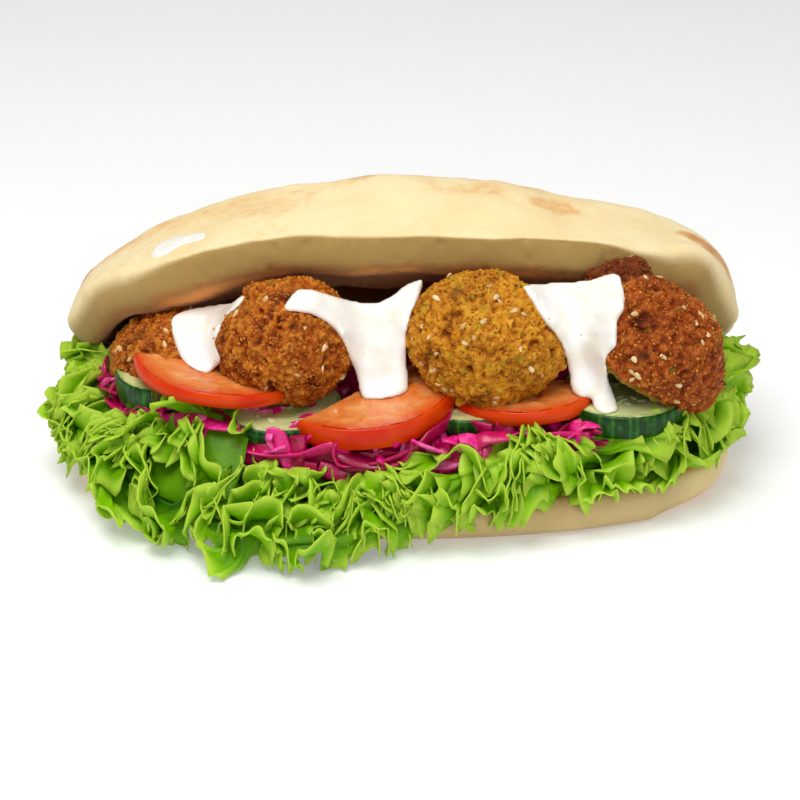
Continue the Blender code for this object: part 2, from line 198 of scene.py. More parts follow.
def noise_line(where: Array, scale: float, rng: np.random.Generator) -> Array:
    """Smooth noise of -1 to 1 along a line.

    Args:
        where: places along it in millimetres.
        scale: size of one swell in millimetres.
        rng: source of the knots' values.

    Returns:
        One number for each place.
    """
    knots = rng.uniform(-1, 1, KNOTS)
    place = where / scale
    low = np.floor(place).astype(int)
    part = ease(place - low)
    return knots[low % KNOTS] * (1 - part) + knots[(low + 1) % KNOTS] * part


def curve_point(a: Array, b: Array, c: Array, d: Array, t: float) -> Array:
    """A point of the smooth curve from b to c, whose neighbours are a and d."""
    return 0.5 * (2 * b + (c - a) * t + (2 * a - 5 * b + 4 * c - d) * t**2 + (3 * b - a - 3 * c + d) * t**3)


# ---------------------------------------------------------------- meshes


def new_object(name: str, data: Any) -> Object:
    """Links a new object at the origin that holds the given data."""
    obj = bpy.data.objects.new(name, data)
    bpy.context.scene.collection.objects.link(obj)
    return obj


def mesh_from(name: str, bm: bmesh.types.BMesh) -> Mesh:
    """Turns a bmesh into a mesh and frees it."""
    mesh = bpy.data.meshes.new(name)
    bm.to_mesh(mesh)
    bm.free()
    return mesh


def grid_faces(number: Array) -> Array:
    """The four point numbers of each cell of a grid of point numbers, (cells, 4)."""
    corners = [number[:-1, :-1], number[1:, :-1], number[1:, 1:], number[:-1, 1:]]
    return np.stack(corners, axis=-1).reshape(-1, 4)


def object_from(name: str, points: Array, faces: Iterable[Sequence[int]], material: Material) -> Object:
    """Makes a smooth-shaded object.

    Args:
        name: the piece's name.
        points: (n, 3) in millimetres.
        faces: the corner numbers of each face.
        material: its only material.

    Returns:
        The linked object, at the origin.
    """
    mesh = bpy.data.meshes.new(name)
    mesh.from_pydata((np.asarray(points) * MM).tolist(), [], [list(f) for f in faces])
    mesh.materials.append(material)
    mesh.shade_smooth()
    return new_object(name, mesh)


def face_outward(obj: Object) -> None:
    """Turns the faces of a closed mesh outwards."""
    bm = bmesh.new()
    bm.from_mesh(obj.data)
    bmesh.ops.recalc_face_normals(bm, faces=bm.faces)
    if bm.calc_volume(signed=True) < 0:
        bmesh.ops.reverse_faces(bm, faces=bm.faces)
    bm.to_mesh(obj.data)
    bm.free()


def points_of(mesh: Mesh) -> Array:
    """The mesh's points in millimetres."""
    flat = np.zeros(len(mesh.vertices) * 3)
    mesh.vertices.foreach_get("co", flat)
    return flat.reshape(-1, 3) / MM


def normals_of(mesh: Mesh) -> Array:
    """The mesh's point normals."""
    flat = np.zeros(len(mesh.vertices) * 3)
    mesh.vertex_normals.foreach_get("vector", flat)
    return flat.reshape(-1, 3)


def move_points(mesh: Mesh, points: Array) -> None:
    """Writes points in millimetres back to a mesh."""
    mesh.vertices.foreach_set("co", (points * MM).ravel())
    mesh.update()


def paint(mesh: Mesh, name: str, values: Array) -> None:
    """Stores one number a point under a name that materials can read."""
    stored = mesh.attributes.get(name) or mesh.attributes.new(name, "FLOAT", "POINT")
    stored.data.foreach_set("value", np.asarray(values, dtype=np.float32))


def settle(obj: Object) -> None:
    """Turns an object's evaluated shape into its plain mesh and drops its modifiers."""
    bpy.context.view_layer.update()
    evaluated = obj.evaluated_get(bpy.context.evaluated_depsgraph_get())
    mesh = bpy.data.meshes.new_from_object(evaluated)
    obj.modifiers.clear()
    obj.data = mesh


def dress(obj: Object, finish: Material) -> None:
    """Gives the whole object one finish and smooth shading."""
    obj.data.materials.clear()
    obj.data.materials.append(finish)
    obj.data.shade_smooth()


def melt(obj: Object, voxel: float, calm: int, swell: float = 0.0) -> None:
    """Melts an object into an even, smoothed mesh.

    Args:
        obj: the object, whose mesh is replaced.
        voxel: size of the new faces in millimetres.
        calm: rounds of smoothing.
        swell: how far its skin is moved out, in millimetres.
    """
    even = obj.modifiers.new("melt", "REMESH")
    even.mode = "VOXEL"
    even.voxel_size = voxel * MM
    if swell:
        grow = obj.modifiers.new("grow", "DISPLACE")
        grow.mid_level = 0
        grow.strength = swell * MM
    soft = obj.modifiers.new("soft", "SMOOTH")
    soft.factor = 0.5
    soft.iterations = calm
    settle(obj)
    obj.data.shade_smooth()


def soft_copy(
    node: str,
    name: str,
    voxel: float,
    calm: int,
    swell: float = 0.0,
    extra: Sequence[tuple[float, float, float, float]] = (),
) -> Object:
    """Copies a CAD node, melts it into an even mesh and smooths it.

    Args:
        node: the CAD node.
        name: the new object's name.
        voxel: size of the new faces in millimetres.
        calm: rounds of smoothing.
        swell: how far its skin is moved out, in millimetres.
        extra: balls that are melted in, as (x, y, z, radius).

    Returns:
        The new object, at the origin.
    """
    bm = bmesh.new()
    bm.from_mesh(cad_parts[node].data)
    bmesh.ops.remove_doubles(bm, verts=bm.verts, dist=0.01 * MM)
    for x, y, z, radius in extra:
        place = Matrix.Translation(Vector((x, y, z)) * MM)
        bmesh.ops.create_icosphere(bm, subdivisions=2, radius=radius * MM, matrix=place)
    obj = new_object(name, mesh_from(name, bm))
    melt(obj, voxel, calm, swell)
    return obj


def geometry_tree(name: str, inputs: dict[str, str], output: str) -> tuple[Tree, Any]:
    """Starts a geometry tree.

    Args:
        name: the tree's name.
        inputs: the kind of each named input, without the words that all kinds start with.
        output: the name of its one output.

    Returns:
        The tree and the sockets that carry its inputs.
    """
    tree = bpy.data.node_groups.new(name, "GeometryNodeTree")
    for label, kind in inputs.items():
        tree.interface.new_socket(label, in_out="INPUT", socket_type="NodeSocket" + kind)
    tree.interface.new_socket(output, in_out="OUTPUT", socket_type="NodeSocketGeometry")
    return tree, tree.nodes.new("NodeGroupInput").outputs


def end_tree(tree: Tree, copies: Any, finish: Material) -> None:
    """Ends a geometry tree: makes its copies real, gives them their finish and sends them out."""
    real = add_node(tree, "GeometryNodeRealizeInstances", links={0: copies})
    links = {"Geometry": real.outputs[0]}
    dressed = add_node(tree, "GeometryNodeSetMaterial", values={"Material": finish}, links=links)
    tree.links.new(dressed.outputs[0], tree.nodes.new("NodeGroupOutput").inputs[0])


def run_tree(obj: Object, tree: Tree, given: dict[str, Any]) -> None:
    """Runs a geometry tree on an object and keeps the result as its mesh.

    Args:
        obj: the object that the tree runs on.
        tree: the geometry tree.
        given: values for its named inputs.
    """
    modifier = obj.modifiers.new(tree.name, "NODES")
    modifier.node_group = tree
    for socket in tree.interface.items_tree:
        if socket.name in given:
            modifier[socket.identifier] = given[socket.name]
    settle(obj)


def hand_over(obj: Object, slot: str, *nodes: str) -> Object:
    """Makes a finished piece part of the model.

    Args:
        obj: the piece.
        slot: the record's material slot it belongs to; not used.
        *nodes: CAD nodes that it stands for.

    Returns:
        The same piece.
    """
    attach(obj, "root")
    if nodes:
        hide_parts(*nodes)
    triangles = sum(len(p.vertices) - 2 for p in obj.data.polygons)
    log.info("%s: %d triangles", obj.name, triangles)
    return obj


# ---------------------------------------------------------------- finishes


def finish_tree(name: str) -> tuple[Material, Tree, Node, Any]:
    """Starts a material.

    Args:
        name: the material's name.

    Returns:
        The material, its tree, its Principled BSDF and the Object coordinates in metres.
    """
    material = bpy.data.materials.new(name)
    material.use_nodes = True
    tree = material.node_tree
    shader = tree.nodes["Principled BSDF"]
    return material, tree, shader, add_node(tree, "ShaderNodeTexCoord").outputs["Object"]


def speckle(tree: Tree, coords: Any, size_mm: float, detail: float = 2, rough: float = 0.5) -> Any:
    """Noise whose blotches are about `size_mm` across, as a socket of 0 to 1."""
    values = {"Scale": 1 / (size_mm * MM), "Detail": detail, "Roughness": rough}
    return add_node(tree, "ShaderNodeTexNoise", values=values, links={"Vector": coords}).outputs["Fac"]


def painted(tree: Tree, name: str) -> Any:
    """The number stored on the mesh under `name`, as a socket."""
    return add_node(tree, "ShaderNodeAttribute", {"attribute_name": name}).outputs["Fac"]


def shades(tree: Tree, factor: Any, *stops: tuple[float, str]) -> Any:
    """A colour that changes with a number.

    Args:
        tree: the material's tree.
        factor: the number's socket.
        *stops: pairs of a place from 0 to 1 and an sRGB hex value.

    Returns:
        The colour's socket.
    """
    node = add_node(tree, "ShaderNodeValToRGB", links={0: factor})
    bar = node.color_ramp.elements
    while len(bar) < len(stops):
        bar.new(0.5)
    for element, (place, code) in zip(bar, stops):
        element.position = place
        element.color = linear(code)
    return node.outputs["Color"]


def between(tree: Tree, share: Any, first: Any, second: Any) -> Any:
    """Mixes two colours.

    Args:
        tree: the material's tree.
        share: how much of the second, a socket or a number.
        first: a colour socket or an sRGB hex value.
        second: a colour socket or an sRGB hex value.

    Returns:
        The mixed colour's socket.
    """
    node = add_node(tree, "ShaderNodeMix", {"data_type": "RGBA", "clamp_factor": True})
    for place, given in ((0, share), (6, first), (7, second)):
        if isinstance(given, str):
            node.inputs[place].default_value = linear(given)
        elif isinstance(given, (int, float)):
            node.inputs[place].default_value = given
        else:
            tree.links.new(given, node.inputs[place])
    return node.outputs[2]


def rescale(tree: Tree, value: Any, low: float, high: float, to_low: float = 0, to_high: float = 1) -> Any:
    """Maps low..high to to_low..to_high, clamped."""
    values = {"From Min": low, "From Max": high, "To Min": to_low, "To Max": to_high}
    return add_node(tree, "ShaderNodeMapRange", values=values, links={"Value": value}).outputs["Result"]


def maths(tree: Tree, kind: str, first: Any, second: Any) -> Any:
    """One sum on two sockets or numbers."""
    node = add_node(tree, "ShaderNodeMath", {"operation": kind})
    for place, given in enumerate((first, second)):
        if isinstance(given, (int, float)):
            node.inputs[place].default_value = given
        else:
            tree.links.new(given, node.inputs[place])
    return node.outputs["Value"]


def relief(tree: Tree, shader: Node, height: Any, depth_mm: float) -> None:
    """Bumps a shader's normal by a height socket of 0 to 1 that is `depth_mm` deep."""
    values = {"Strength": 1, "Distance": depth_mm * MM}
    bump = add_node(tree, "ShaderNodeBump", values=values, links={"Height": height})
    tree.links.new(bump.outputs["Normal"], shader.inputs["Normal"])


def set_shader(shader: Node, **values: float | tuple[float, ...]) -> None:
    """Sets the shader's own sockets; an underscore in a name stands for a space."""
    for name, value in values.items():
        shader.inputs[name.replace("_", " ")].default_value = value


def coat(tree: Tree, shader: Node, color: Any, **values: float | tuple[float, ...]) -> None:
    """Links the shader's colour and sets its other sockets."""
    tree.links.new(color, shader.inputs["Base Color"])
    set_shader(shader, **values)


@dataclass(frozen=True)
class BakedFlatbread:
    """Flatbread crust: dry, matt and floury, cream where pale, tan to brown where it toasted; its lip and
    pocket carry painted shade and painted warm light.
    """

    cream: str = "ecd196"
    pale: str = "f4e0ae"
    gold: str = "e6b878"
    tan: str = "d0924e"
    brown: str = "a5642e"
    # The lip's crumb colour is darker than crumb itself: painted shade on the flap's cut face.
    crumb: str = "a8884a"
    # Darker gold: painted shade deeper in the lip, and also the lip's toasted spots.
    crumb_gold: str = "a8763a"
    # A light warm brown for the pocket's inside: painted bounce light in its shade.
    hollow: str = "d88c3c"
    speck: str = "7c4f2c"

    def build(self) -> Material:
        """Reads the attributes toast, crumb, deep and speck, where crumb and deep also carry painted shade
        and painted warm light; the crust scatters a little light inside.
        """
        material, tree, shader, coords = finish_tree("baked_flatbread")
        broad = speckle(tree, coords, 26, 3)
        fine = speckle(tree, coords, 3.2, 4, 0.6)
        crust = shades(tree, broad, (0.3, self.cream), (0.62, self.pale))
        heat = maths(tree, "ADD", painted(tree, "toast"), rescale(tree, fine, 0.3, 0.7, -0.12, 0.12))
        steps = (0.15, self.cream), (0.45, self.gold), (0.75, self.tan), (1.0, self.brown)
        toasted = shades(tree, heat, *steps)
        skin = between(tree, rescale(tree, heat, 0.08, 0.4), crust, toasted)
        spots = rescale(tree, speckle(tree, coords, 8, 4, 0.6), 0.56, 0.74, 0, 0.5)
        deep = painted(tree, "deep")
        # Rises with deep, painted shade toward the pocket, and with the real toasted spots.
        golden = maths(tree, "ADD", rescale(tree, deep, 0.0, 0.6), spots)
        inner = between(tree, golden, self.crumb, self.crumb_gold)
        # The pocket's inside takes the light warm brown: painted bounce light in the shaded pocket.
        inner = between(tree, rescale(tree, deep, 0.7, 1.0), inner, self.hollow)
        freckle = rescale(tree, speckle(tree, coords, 1.5, 3, 0.7), 0.6, 0.74, 0, 0.4)
        skin = between(tree, freckle, skin, self.gold)
        color = between(tree, painted(tree, "crumb"), skin, inner)
        color = between(tree, painted(tree, "speck"), color, self.speck)
        # Flour leaves the crust matt, with a soft bloom at grazing angles.
        coat(tree, shader, color, Roughness=0.78, Specular_IOR_Level=0.28, Sheen_Weight=0.12)
        set_shader(shader, Sheen_Roughness=0.6, Subsurface_Weight=0.12, Subsurface_Scale=1.0)
        set_shader(shader, Subsurface_Radius=(0.0022, 0.0014, 0.0007))
        relief(tree, shader, speckle(tree, coords, 0.9, 3, 0.65), 0.16)
        return material


@dataclass(frozen=True)
class FriedCrumb:
    """Deep-fried chickpea crumb: rough and dry, orange brown, green flecks of herb, with painted shade in the
    pits and painted light on the crests.
    """

    name: str = "fried_crumb"
    # pit is the painted shade of the pits and also a random darker mottle; crest is painted light.
    pit: str = "581d03"
    body: str = "b05408"
    crest: str = "e09430"
    herb: str = "6f6a14"
    # Burnt crust, and also the painted shade on the knobs and the torn underside.
    burnt: str = "4a1a08"

    def build(self) -> Material:
        """Reads the attributes lift, herb and burn."""
        material, tree, shader, coords = finish_tree(self.name)
        fine = speckle(tree, coords, 0.8, 3, 0.6)
        lift = maths(tree, "ADD", painted(tree, "lift"), rescale(tree, fine, 0.3, 0.7, -0.14, 0.14))
        # Low lift takes the pit colour and high lift the crest colour: painted shade in the pits, painted
        # highlight on the crests.
        color = shades(tree, lift, (0.05, self.pit), (0.45, self.body), (0.95, self.crest))
        broad = speckle(tree, coords, 11, 2)
        color = between(tree, rescale(tree, broad, 0.35, 0.7, 0, 0.35), color, self.pit)
        color = between(tree, painted(tree, "herb"), color, self.herb)
        # The burn value holds burnt patches and also painted shade.
        color = between(tree, painted(tree, "burn"), color, self.burnt)
        # Frying oil leaves a faint, broken gloss on a rough crumb.
        coat(tree, shader, color, Specular_IOR_Level=0.15)
        tree.links.new(rescale(tree, fine, 0.3, 0.7, 0.38, 0.68), shader.inputs["Roughness"])
        relief(tree, shader, speckle(tree, coords, 0.45, 3, 0.7), 0.18)
        return material


@dataclass(frozen=True)
class SesameHull:
    """Hulled sesame seed: smooth, ivory to light tan, toasted at one end."""

    pale: str = "ecd6a0"
    tan: str = "c99a52"

    def build(self) -> Material:
        """A satin seed coat."""
        material, tree, shader, coords = finish_tree("sesame_hull")
        color = shades(tree, speckle(tree, coords, 2.4, 2), (0.35, self.pale), (0.65, self.tan))
        coat(tree, shader, color, Roughness=0.42, Subsurface_Weight=0.1)
        set_shader(shader, Subsurface_Radius=(0.001, 0.0006, 0.0003))
        return material


@dataclass(frozen=True)
class YogurtSauce:
    """Thick yogurt and sesame sauce: opaque, creamy white, wet."""

    white: str = "fbfaf6"
    cream: str = "f6efdf"
    speck: str = "a99f6a"

    def build(self) -> Material:
        """Light goes a few millimetres into it, which softens its edges; its skin is smooth and glossy."""
        material, tree, shader, coords = finish_tree("yogurt_sauce")
        color = shades(tree, speckle(tree, coords, 7, 2), (0.35, self.white), (0.7, self.cream))
        specks = rescale(tree, speckle(tree, coords, 0.9, 1), 0.76, 0.8)
        color = between(tree, specks, color, self.speck)
        coat(tree, shader, color, Roughness=0.24, Specular_IOR_Level=0.5)
        set_shader(shader, Coat_Weight=0.15, Coat_Roughness=0.12)
        set_shader(shader, Subsurface_Weight=0.35, Subsurface_Radius=(0.0025, 0.0022, 0.0018))
        relief(tree, shader, speckle(tree, coords, 2.2, 2), 0.12)
        return material


@dataclass(frozen=True)
class TomatoSkin:
    """Ripe tomato skin: waxy, orange red, smooth."""

    red: str = "d02800"
    orange: str = "e04a00"

    def build(self) -> Material:
        """A clear wax coat over an even colour."""
        material, tree, shader, coords = finish_tree("tomato_skin")
        color = shades(tree, speckle(tree, coords, 14, 2), (0.35, self.red), (0.68, self.orange))
        coat(tree, shader, color, Roughness=0.3, Specular_IOR_Level=0.18)
        set_shader(shader, Coat_Weight=0.03, Coat_Roughness=0.08)
        relief(tree, shader, speckle(tree, coords, 1.6, 2), 0.05)
        return material


@dataclass(frozen=True)
class TomatoFlesh:
    """Cut tomato: wet salmon flesh with pale veins, deeper red at the skin."""

    pale: str = "e69a56"
    salmon: str = "de762e"
    deep: str = "d63c08"

    def build(self) -> Material:
        """Reads the attribute depth: 0 at the skin, 1 in the middle."""
        material, tree, shader, coords = finish_tree("tomato_flesh")
        vein = speckle(tree, coords, 5, 3, 0.5)
        flesh = shades(tree, vein, (0.35, self.salmon), (0.68, self.pale))
        edge = rescale(tree, painted(tree, "depth"), 0.0, 0.22)
        color = between(tree, edge, self.deep, flesh)
        coat(tree, shader, color, Roughness=0.24, Coat_Weight=0.12, Coat_Roughness=0.1, Subsurface_Weight=0.2)
        set_shader(shader, Subsurface_Radius=(0.003, 0.0012, 0.0006))
        relief(tree, shader, speckle(tree, coords, 1.1, 3, 0.6), 0.2)
        return material


@dataclass(frozen=True)
class CucumberSkin:
    """Cucumber skin: waxy dark green with paler streaks that run down from the cut edge."""

    dark: str = "0a3806"
    light: str = "2c7010"

    def build(self) -> Material:
        """Reads the attribute round, the way round the slice in millimetres."""
        material, tree, shader, coords = finish_tree("cucumber_skin")
        way = add_node(tree, "ShaderNodeCombineXYZ", links={"X": painted(tree, "round")})
        values = {"Scale": 0.55, "Detail": 3}
        streak = add_node(tree, "ShaderNodeTexNoise", values=values, links={"Vector": way.outputs["Vector"]})
        mottle = speckle(tree, coords, 2.5, 3)
        factor = maths(tree, "ADD", streak.outputs["Fac"], rescale(tree, mottle, 0.3, 0.7, -0.1, 0.1))
        color = shades(tree, factor, (0.46, self.dark), (0.7, self.light))
        coat(tree, shader, color, Roughness=0.3, Specular_IOR_Level=0.25)
        set_shader(shader, Coat_Weight=0.06, Coat_Roughness=0.12)
        relief(tree, shader, mottle, 0.08)
        return material


@dataclass(frozen=True)
class CucumberFlesh:
    """Cut cucumber: wet, pale green, greener under the skin and glassy round the seeds."""

    rim: str = "7fa52e"
    flesh: str = "d2d896"
    heart: str = "bcc872"

    def build(self) -> Material:
        """Reads the attribute depth: 0 at the skin, 1 in the middle."""
        material, tree, shader, coords = finish_tree("cucumber_flesh")
        uneven = rescale(tree, speckle(tree, coords, 3, 3), 0.3, 0.7, -0.05, 0.05)
        depth = maths(tree, "ADD", painted(tree, "depth"), uneven)
        steps = (0.0, self.rim), (0.13, self.flesh), (0.45, self.flesh), (0.62, self.heart)
        color = shades(tree, depth, *steps)
        coat(tree, shader, color, Roughness=0.18, Coat_Weight=0.4, Coat_Roughness=0.1, Subsurface_Weight=0.3)
        set_shader(shader, Subsurface_Radius=(0.0018, 0.0026, 0.0012))
        relief(tree, shader, speckle(tree, coords, 0.8, 2), 0.08)
        return material


@dataclass(frozen=True)
class PickledCabbage:
    """Red cabbage in vinegar: magenta leaf skin, paler and pinker where it was cut, wet."""

    skin: str = "cc005e"
    bright: str = "ee1a8c"
    pale: str = "f46cb2"
    shade: str = "9c0440"

    def build(self) -> Material:
        """Reads the attribute tone, another number for each shred."""
        material, tree, shader, coords = finish_tree("pickled_cabbage")
        tone = painted(tree, "tone")
        fine = rescale(tree, speckle(tree, coords, 2.2, 3), 0.3, 0.7, -0.16, 0.16)
        factor = maths(tree, "ADD", tone, fine)
        steps = (0.08, self.shade), (0.4, self.skin), (0.75, self.bright), (1.0, self.pale)
        color = shades(tree, factor, *steps)
        coat(tree, shader, color, Roughness=0.3, Coat_Weight=0.1, Coat_Roughness=0.12, Subsurface_Weight=0.15)
        set_shader(shader, Subsurface_Radius=(0.002, 0.0006, 0.0012))
        relief(tree, shader, speckle(tree, coords, 0.9, 2), 0.1)
        return material


@dataclass(frozen=True)
class LettuceLeaf:
    """Curly lettuce: thin satin leaf, yellow green where light comes through, with painted shade darkening
    the folds toward each frill's root and the backing blade.
    """

    # root is the dark green of painted shade in the folds.
    root: str = "3a7a02"
    fold: str = "70b400"
    blade: str = "9cda04"
    edge: str = "d2f04e"
    glow: float = 0.36

    def build(self) -> Material:
        """Reads the attribute rim, 0 at the root and 1 at the frilled edge; toward the root the colour
        darkens as painted shade.
        """
        material, tree, shader, coords = finish_tree("lettuce_leaf")
        tint = speckle(tree, coords, 9, 3)
        blade = shades(tree, tint, (0.3, self.fold), (0.62, self.blade))
        rim = painted(tree, "rim")
        # Darker toward the root: painted shade in the folds.
        color = between(tree, rescale(tree, rim, 0.1, 0.7), self.root, blade)
        color = between(tree, rescale(tree, rim, 0.82, 1.0), color, self.edge)
        coat(tree, shader, color, Roughness=0.4, Specular_IOR_Level=0.25)
        glow = add_node(tree, "ShaderNodeBsdfTranslucent", links={"Color": color})
        links = {1: shader.outputs[0], 2: glow.outputs[0]}
        mix = add_node(tree, "ShaderNodeMixShader", values={0: self.glow}, links=links)
        tree.links.new(mix.outputs[0], tree.nodes["Material Output"].inputs["Surface"])
        relief(tree, shader, speckle(tree, coords, 1.8, 3, 0.6), 0.22)
        return material


# ---------------------------------------------------------------- bread


def oval(u: Array, w: Array, half_length: float, half_depth: float, shift: float) -> tuple[Array, Array]:
    """Maps the square -1..1 by -1..1 to an oval with a boxier back.

    Args:
        u: place along the length, -1 at the left.
        w: place across, 1 at the front.
        half_length: half the oval's length.
        half_depth: half its depth.
        shift: how far its middle lies behind the origin.

    Returns:
        x and y in millimetres.
    """
    square = np.where(w > 0, FRONT_ROUND, BACK_ROUND)
    x = half_length * u * np.sqrt(1 - square * w * w)
    return x, shift - half_depth * w * np.sqrt(1 - square * u * u)


def wander(x: float, y: float, scale: float) -> float:
    """Slow noise that lets the flap rise and fall a little."""
    return noise.noise(Vector((x / scale + 7.3, y / scale - 3.1, 0)))


@dataclass
class Flatbread:
    """One oval bread folded over at its back: a flat base, a fold and a flap that gapes open at the front.

    Its middle sheet is a grid of `columns` along the length and `rows` from the base's front rim round the
    fold to the flap's front rim; the wall stands half to each side of it. `calm` is how many cells its
    normals are averaged over to each side, and `scorched` lists toasted spots as (x, y, size, strength).
    """

    base: tuple[float, float, float] = BASE_OVAL
    flap: tuple[float, float, float] = (101.0, 28.0, 16.0)
    wall: float = 13.6
    end_wall: float = 16.0
    base_height: float = 6.8
    flap_height: float = 82.0
    end_drop: float = 43.0
    back_fall: float = 26.0
    end_tuck: float = 26.0
    end_pinch: float = 0.5
    columns: int = 185
    rows: int = 176
    lip_steps: int = 18
    belly: float = 12.0
    sag: float = 17.0
    calm: int = 4
    scorched: tuple[tuple[float, ...], ...] = (
        (47, 8, 11, 0.42),
        (96, 8, 9, 0.75),
        (22, 12, 14, 0.2),
        (-38, 6, 16, 0.15),
    )
    grain: Grain = field(default_factory=lambda: Grain(5))
    fine_grain: Grain = field(default_factory=lambda: Grain(9))
    speck_grain: Grain = field(default_factory=lambda: Grain(17))

    def base_point(self, u: float, w: float) -> Array:
        """A point of the base's middle sheet."""
        x, y = oval(u, w, *self.base)
        return np.array([x, y, self.base_height])

    def flap_point(self, u: float, w: float) -> Array:
        """A point of the flap's middle sheet, which arches down to both ends and falls to the back."""
        x, y = oval(u, w, *self.flap)
        side = x / self.flap[0]
        share = abs(side)
        bow = 0.57 - 0.13 * side
        arch = bow * share**2 + (1 - bow) * share**24
        back, front = max(0.0, -w) ** 2.2, max(0.0, w) ** 2 * (1 - share)
        z = self.flap_height - self.end_drop * arch - self.back_fall * back * (1 - 0.6 * share**2)
        z -= 3.5 * front + self.end_tuck * abs(u) ** 6 * max(0.0, -w) ** 1.2
        return np.array([x, y, z + 1.6 * wander(x, y, 24)])

    def fold_point(self, u: float, out: float, height: float) -> Array:
        """A point of the fold, `out` beyond the base's back edge."""
        x, y = oval(u, -1.0, *self.base)
        side = np.array([x / self.base[0] ** 2, (y - self.base[2]) / self.base[1] ** 2])
        side /= np.linalg.norm(side)
        pinch = 1 - self.end_pinch * abs(u) ** 6
        rise = self.base_height + (height - self.base_height) * pinch
        return np.array([x + side[0] * out, y + side[1] * out, rise])

    def route(self, u: float) -> Array:
        """One column of the sheet: evenly spaced points on a smooth curve."""
        points = [self.base_point(u, w) for w in (1.0, 0.55, 0.05, -0.45, -0.8)]
        points += [self.fold_point(u, 1.5, 12.5), self.fold_point(u, 5.5, 26)]
        points += [self.fold_point(u, 4.5, 42 - 6 * u * u)]
        points += [self.flap_point(u, w) for w in (-0.9, -0.55, -0.15, 0.3, 0.7, 1.0)]
        ends = [2 * points[0] - points[1], *points, 2 * points[-1] - points[-2]]
        fine = []
        for a, b, c, d in zip(ends, ends[1:], ends[2:], ends[3:]):
            fine += [curve_point(a, b, c, d, t) for t in np.linspace(0, 1, 20, endpoint=False)]
        fine = np.array([*fine, points[-1]])
        travelled = np.concatenate([[0], np.cumsum(np.linalg.norm(np.diff(fine, axis=0), axis=1))])
        wanted = np.linspace(0, travelled[-1], self.rows)
        return np.stack([np.interp(wanted, travelled, fine[:, k]) for k in range(3)], axis=1)

    def sheet(self) -> Array:
        """The middle of the wall, (columns, rows, 3)."""
        return np.array([self.route(u) for u in np.linspace(-1, 1, self.columns)])

    def border(self) -> list[tuple[int, int]]:
        """The grid's border as one closed loop of (column, row)."""
        last_column, last_row = self.columns - 1, self.rows - 1
        front = [(i, 0) for i in range(self.columns)]
        right = [(last_column, j) for j in range(1, self.rows)]
        back = [(i, last_row) for i in range(last_column - 1, -1, -1)]
        left = [(0, j) for j in range(last_row - 1, 0, -1)]
        return front + right + back + left

    def shell(self) -> tuple[Array, list[tuple[int, ...]], Array]:
        """The closed wall round the sheet, with a squarish rounded lip.

        Returns:
            The points, the faces, and for each point how far it is round the wall: 0 on the outer crust,
            1 on the inner side, in between on the lip.
        """
        sheet = self.sheet()
        normals = np.cross(np.gradient(sheet, axis=0), np.gradient(sheet, axis=1))
        for axis in (0, 1, 0, 1):
            width = [(0, 0)] * 3
            width[axis] = (self.calm, self.calm)
            wide = np.pad(normals, width, mode="edge")
            size = normals.shape[axis]
            steps = range(2 * self.calm + 1)
            normals = sum(np.take(wide, range(k, k + size), axis=axis) for k in steps)
        normals /= np.linalg.norm(normals, axis=2, keepdims=True)
        share = np.clip(np.abs(sheet[..., 0]) / self.flap[0], 0, 1)
        on_flap = np.clip((sheet[..., 2] - self.base_height) / 30, 0, 1)
        half = (self.wall + (self.end_wall - self.wall) * share**3 * on_flap)[..., None] / 2
        grid = self.columns * self.rows
        blocks = [(sheet + normals * half).reshape(-1, 3), (sheet - normals * half).reshape(-1, 3)]
        sides = [np.ones(grid), np.zeros(grid)]
        number = np.arange(2 * grid).reshape(2, self.columns, self.rows)
        faces = [tuple(f) for f in grid_faces(number[0]).tolist() + grid_faces(number[1])[:, ::-1].tolist()]
        # The lip: half rings between the two skins, round the whole border.
        loop = self.border()
        here = np.array([sheet[c] for c in loop])
        up = np.array([normals[c] for c in loop])
        reach = np.array([half[c] for c in loop])
        out = np.cross(np.roll(here, -1, axis=0) - np.roll(here, 1, axis=0), up)
        out /= np.linalg.norm(out, axis=1, keepdims=True)
        column, row = np.array(loop).T
        deep = self.calm
        within = sheet[column.clip(deep, self.columns - deep - 1), row.clip(deep, self.rows - deep - 1)]
        out *= np.sign(np.sum(out * (here - within), axis=1, keepdims=True))
        rings = [[int(number[0][c]) for c in loop]]
        count = 2 * grid
        on_flap = ramp(here[:, 2:3], 20, 36)
        ends = ramp(np.abs(here[:, :1]), 62, 88)
        for step in range(1, self.lip_steps):
            angle = math.pi * step / self.lip_steps
            outer = ramp(np.array(angle), 1.2, 2.2)
            square = 0.85 - 0.38 * outer * on_flap * (1 - ends)
            rise = math.copysign(1, math.cos(angle)) * abs(math.cos(angle)) ** square
            push = math.sin(angle) ** square * (1 - 0.25 * outer * on_flap)
            blocks.append(here + up * reach * rise + out * reach * push)
            sides.append((1 + rise[:, 0]) / 2)
            rings.append(list(range(count, count + len(loop))))
            count += len(loop)
        rings.append([int(number[1][c]) for c in loop])
        for near, far in zip(rings, rings[1:]):
            for k in range(len(loop)):
                after = (k + 1) % len(loop)
                faces.append((near[k], far[k], far[after], near[after]))
        return np.concatenate(blocks), faces, np.concatenate(sides)

    def weather(self, obj: Object, side: Array) -> None:
        """Adds the baked surface: blisters and dents, pores in the crumb, and the painted colours, with
        painted shade on the lip and on the base's front rim and painted warm light in the pocket.

        Args:
            obj: the bread.
            side: how far each point is round the wall, from the shell.
        """
        points, normals = points_of(obj.data), normals_of(obj.data)
        grain = self.grain
        x, y, z = points.T
        floor = ramp(z, 0.4, 3.0)
        flap = ramp(z, 26, 38)
        edge = 0.012 + 0.008 * grain.smooth(points, 14)
        soft = 0.05 + 0.3 * ramp(np.abs(x), 60, 90)
